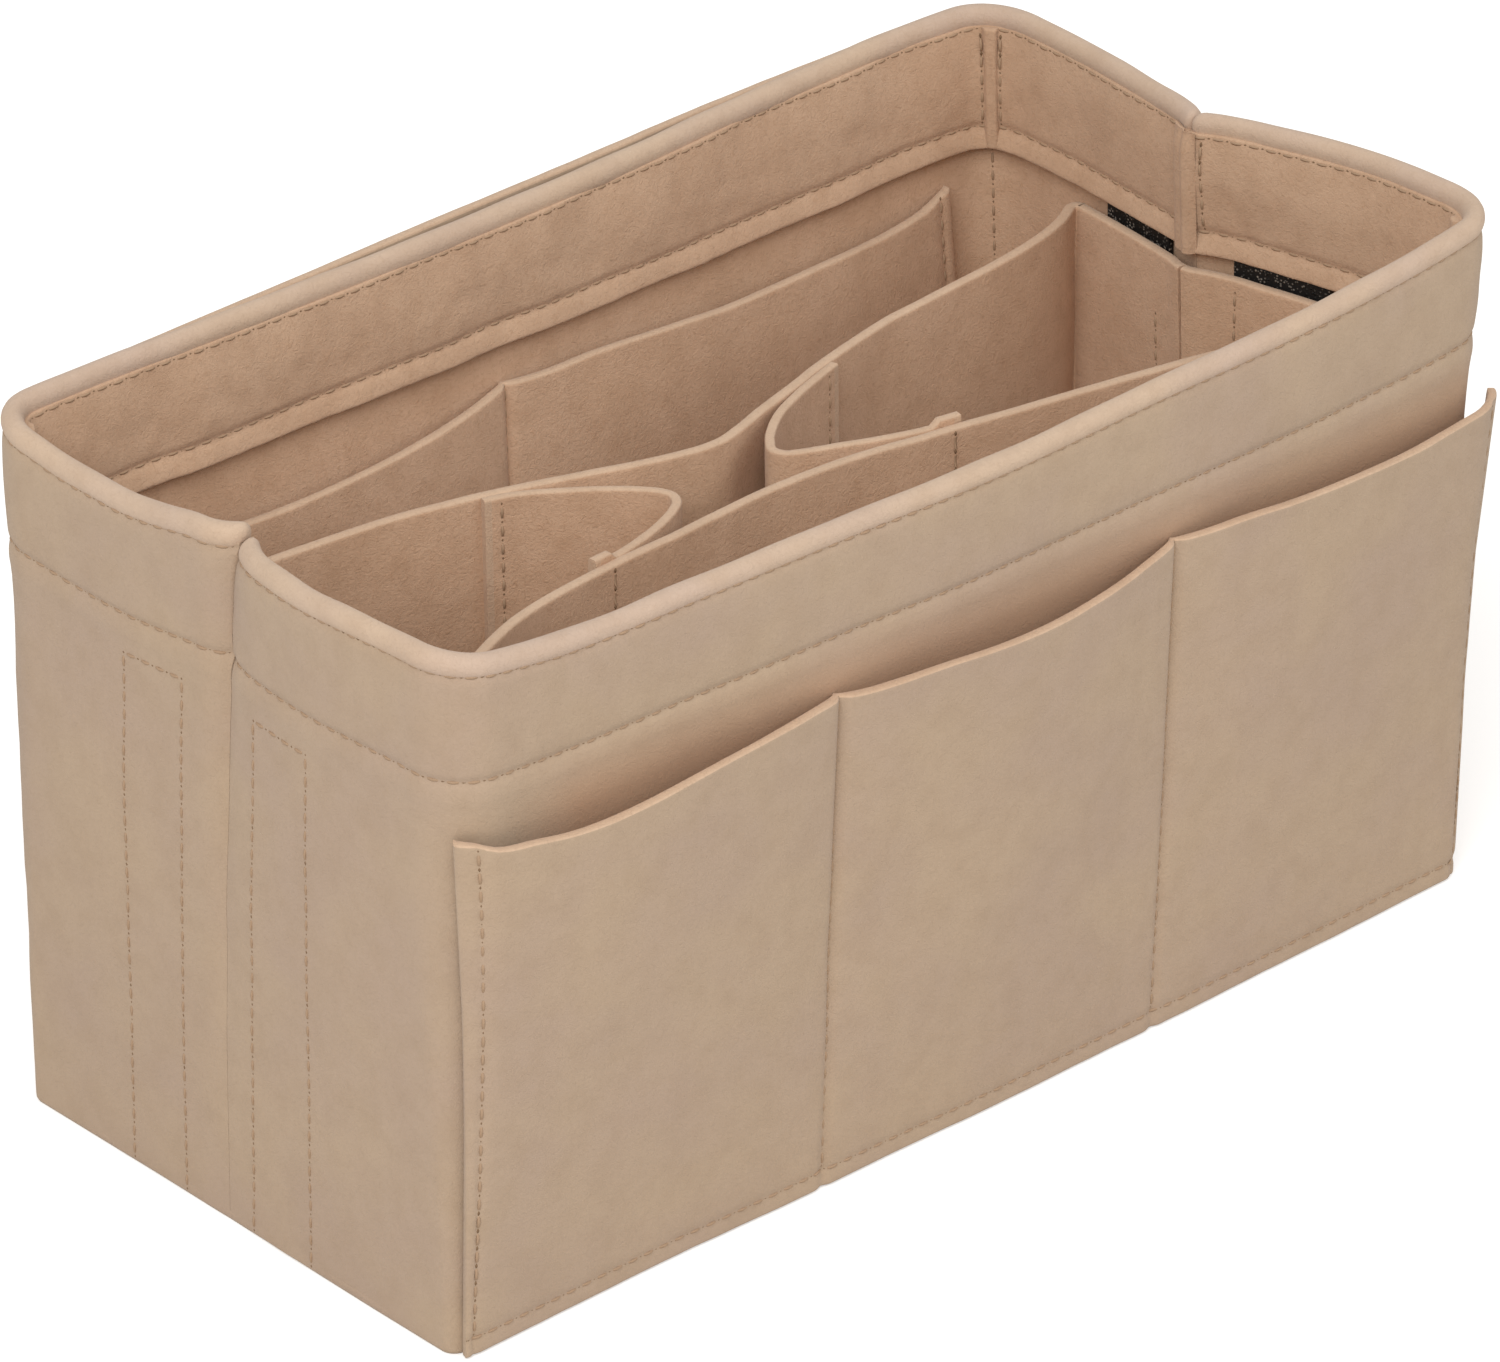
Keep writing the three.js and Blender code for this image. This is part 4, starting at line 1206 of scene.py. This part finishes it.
def wallRuns(side, start, stop):
    # along the wall: under the roll and along the band outside, under the roll and along the
    # facing's seam inside
    return [surfaceRun(place, side, (start, stop), (height, height), outward, 700)
            for place, height, outward in (
                (outerFace, tub["topStitch"], 1), (outerFace, tub["bandStitch"], 1),
                (innerFace, tub["topStitch"], -1), (facingSeamFace, tub["facingSeam"], -1))]


def stripRuns(side, along):
    # beside a raised strip of the facing
    return [surfaceRun(innerFace, side, (spot, spot), seams["strip"], -1) for spot in along]


def cornerRuns(side, end):
    # beside the corner's strip, and on down the corner of the wall itself
    middle, away = end * cornerMiddle, seams["besideWelt"]
    return stripRuns(side, (middle - away, middle + away)) + [
        surfaceRun(wallInside, side, (middle, middle), seams["corner"], -1)]


def tapeRuns(side, end):
    # the two long sides and the top of the rectangle that holds the hook tape, outside
    low, top = seams["tapeHeights"]
    near, far = ([end * (creaseAlong - away) for away in line] for line in seams["tape"][side])
    return [surfaceRun(outerFace, side, near, (low, top), 1),
            surfaceRun(outerFace, side, far, (low, top), 1),
            surfaceRun(outerFace, side, (near[1], far[1]), (top, top), 1)]


def pocketRuns(pocket):
    # up each seam and each end of a row of pockets, and along its foot where that is sewn
    outward = 1 if pocket["outside"] else -1
    lines = [((seam, seam), seam, pocketSeams["seamShort"]) for seam in pocket["seams"]]
    for (base, mouth), inward in zip(pocket["ends"], (1, -1)):
        inset = inward * pocketSeams["inset"]
        lines.append(((base + inset, mouth + inset), mouth, pocketSeams["endShort"]))
    runs = []
    for along, spot, short in lines:
        top = float(pocketTop(pocket, spot)) - short
        runs.append(surfaceRun(pocketShown, pocket, along, (pocket["seamsFrom"], top), outward))
    if pocket["foot"]:
        runs.append(surfaceRun(pocketShown, pocket, pocket["foot"], (pocketSeams["foot"],) * 2,
                               outward, 700))
    return runs


for side, sideName in sideNames.items():
    runs = wallRuns(side, -jointAlong, jointAlong) + cornerRuns(side, -1) + cornerRuns(side, 1)
    stitchObject(sideName + "WallStitches", runs, "tub")
    for end, endName in endNames.items():
        runs = wallRuns(side, end * jointAlong, end * (creaseAlong - seams["shortOfCrease"]))
        runs += tapeRuns(side, end)
        runs += stripRuns(side, [end * (creaseAlong - seams["besideTuck"])])
        stitches = stitchObject(endName + sideName.capitalize() + "EndStitches", runs)
        foldWith(stitches)
for name, pocket in pockets.items():
    stitchObject(name + "PocketStitches", pocketRuns(pocket), "tub")


def dividerRuns(path, away):
    # up the divider that far along its path, on both of its faces
    length = lengthAlong(path)
    spot, beyond = (np.array([np.interp(place, length, path[:, k]) for k in range(2)])
                   for place in (away, away + 0.5))
    normal = rightOf(beyond - spot)
    heights = np.linspace(seams["pouchLow"], pouch["top"] - 1.5, 60)
    runs = []
    for face in (-1, 1):
        plan = np.tile(spot + normal * pouch["dividerFelt"] / 2 * face, (len(heights), 1))
        out = np.tile(np.append(normal * face, 0.0), (len(heights), 1))
        runs.append(stitchRun(np.column_stack([plan, heights]), out))
    return runs


pouchRuns = []
for points in pouchDividers.values():
    path = dividerPath(points)
    for away in (seams["dividerEnd"], lengthAlong(path)[-1] - seams["dividerEnd"]):
        pouchRuns += dividerRuns(path, away)
    for side, (x, _) in ((1, path[4]), (-1, path[-5])):
        pouchRuns.append(surfaceRun(pouchShown, side, (x, x),
                                    (seams["pouchLow"], pouch["top"] - 1.0), side))
stitchObject("pouchStitches", pouchRuns, "pouch")


def flapRuns(end, side):
    # two lines down the flap's inner face, beside the loop tape
    heights = np.linspace(*seams["flapHeights"], 48)
    path, normal = pouchFlapPath(end, side, heights)
    runs = []
    for q, top in seams["flap"][side]:
        rows = heights[heights < top]
        spot = int(np.argmin(np.abs(path[-30:, 0, 1] - q))) + len(path) - 30
        plan, out = path[spot, :len(rows)], normal[spot, :len(rows)]
        wave = ripple(np.column_stack([plan[:, 0], plan[:, 1] * side, rows]), "pouch")
        inner = plan - out * (pouch["felt"] - wave)[:, None]
        points = np.column_stack([end * inner[:, 0], side * inner[:, 1], rows])
        outward = np.column_stack([-end * out[:, 0], -side * out[:, 1], np.zeros(len(rows))])
        runs.append(stitchRun(points, outward))
    return runs


for side, sideName in sideNames.items():
    for end, endName in endNames.items():
        name = "pouch" + endName.capitalize() + sideName.capitalize() + "FlapStitches"
        stitchObject(name, flapRuns(end, side),
                     "pouch_" + endName + "_" + sideName + "_end")
print("stitches made")
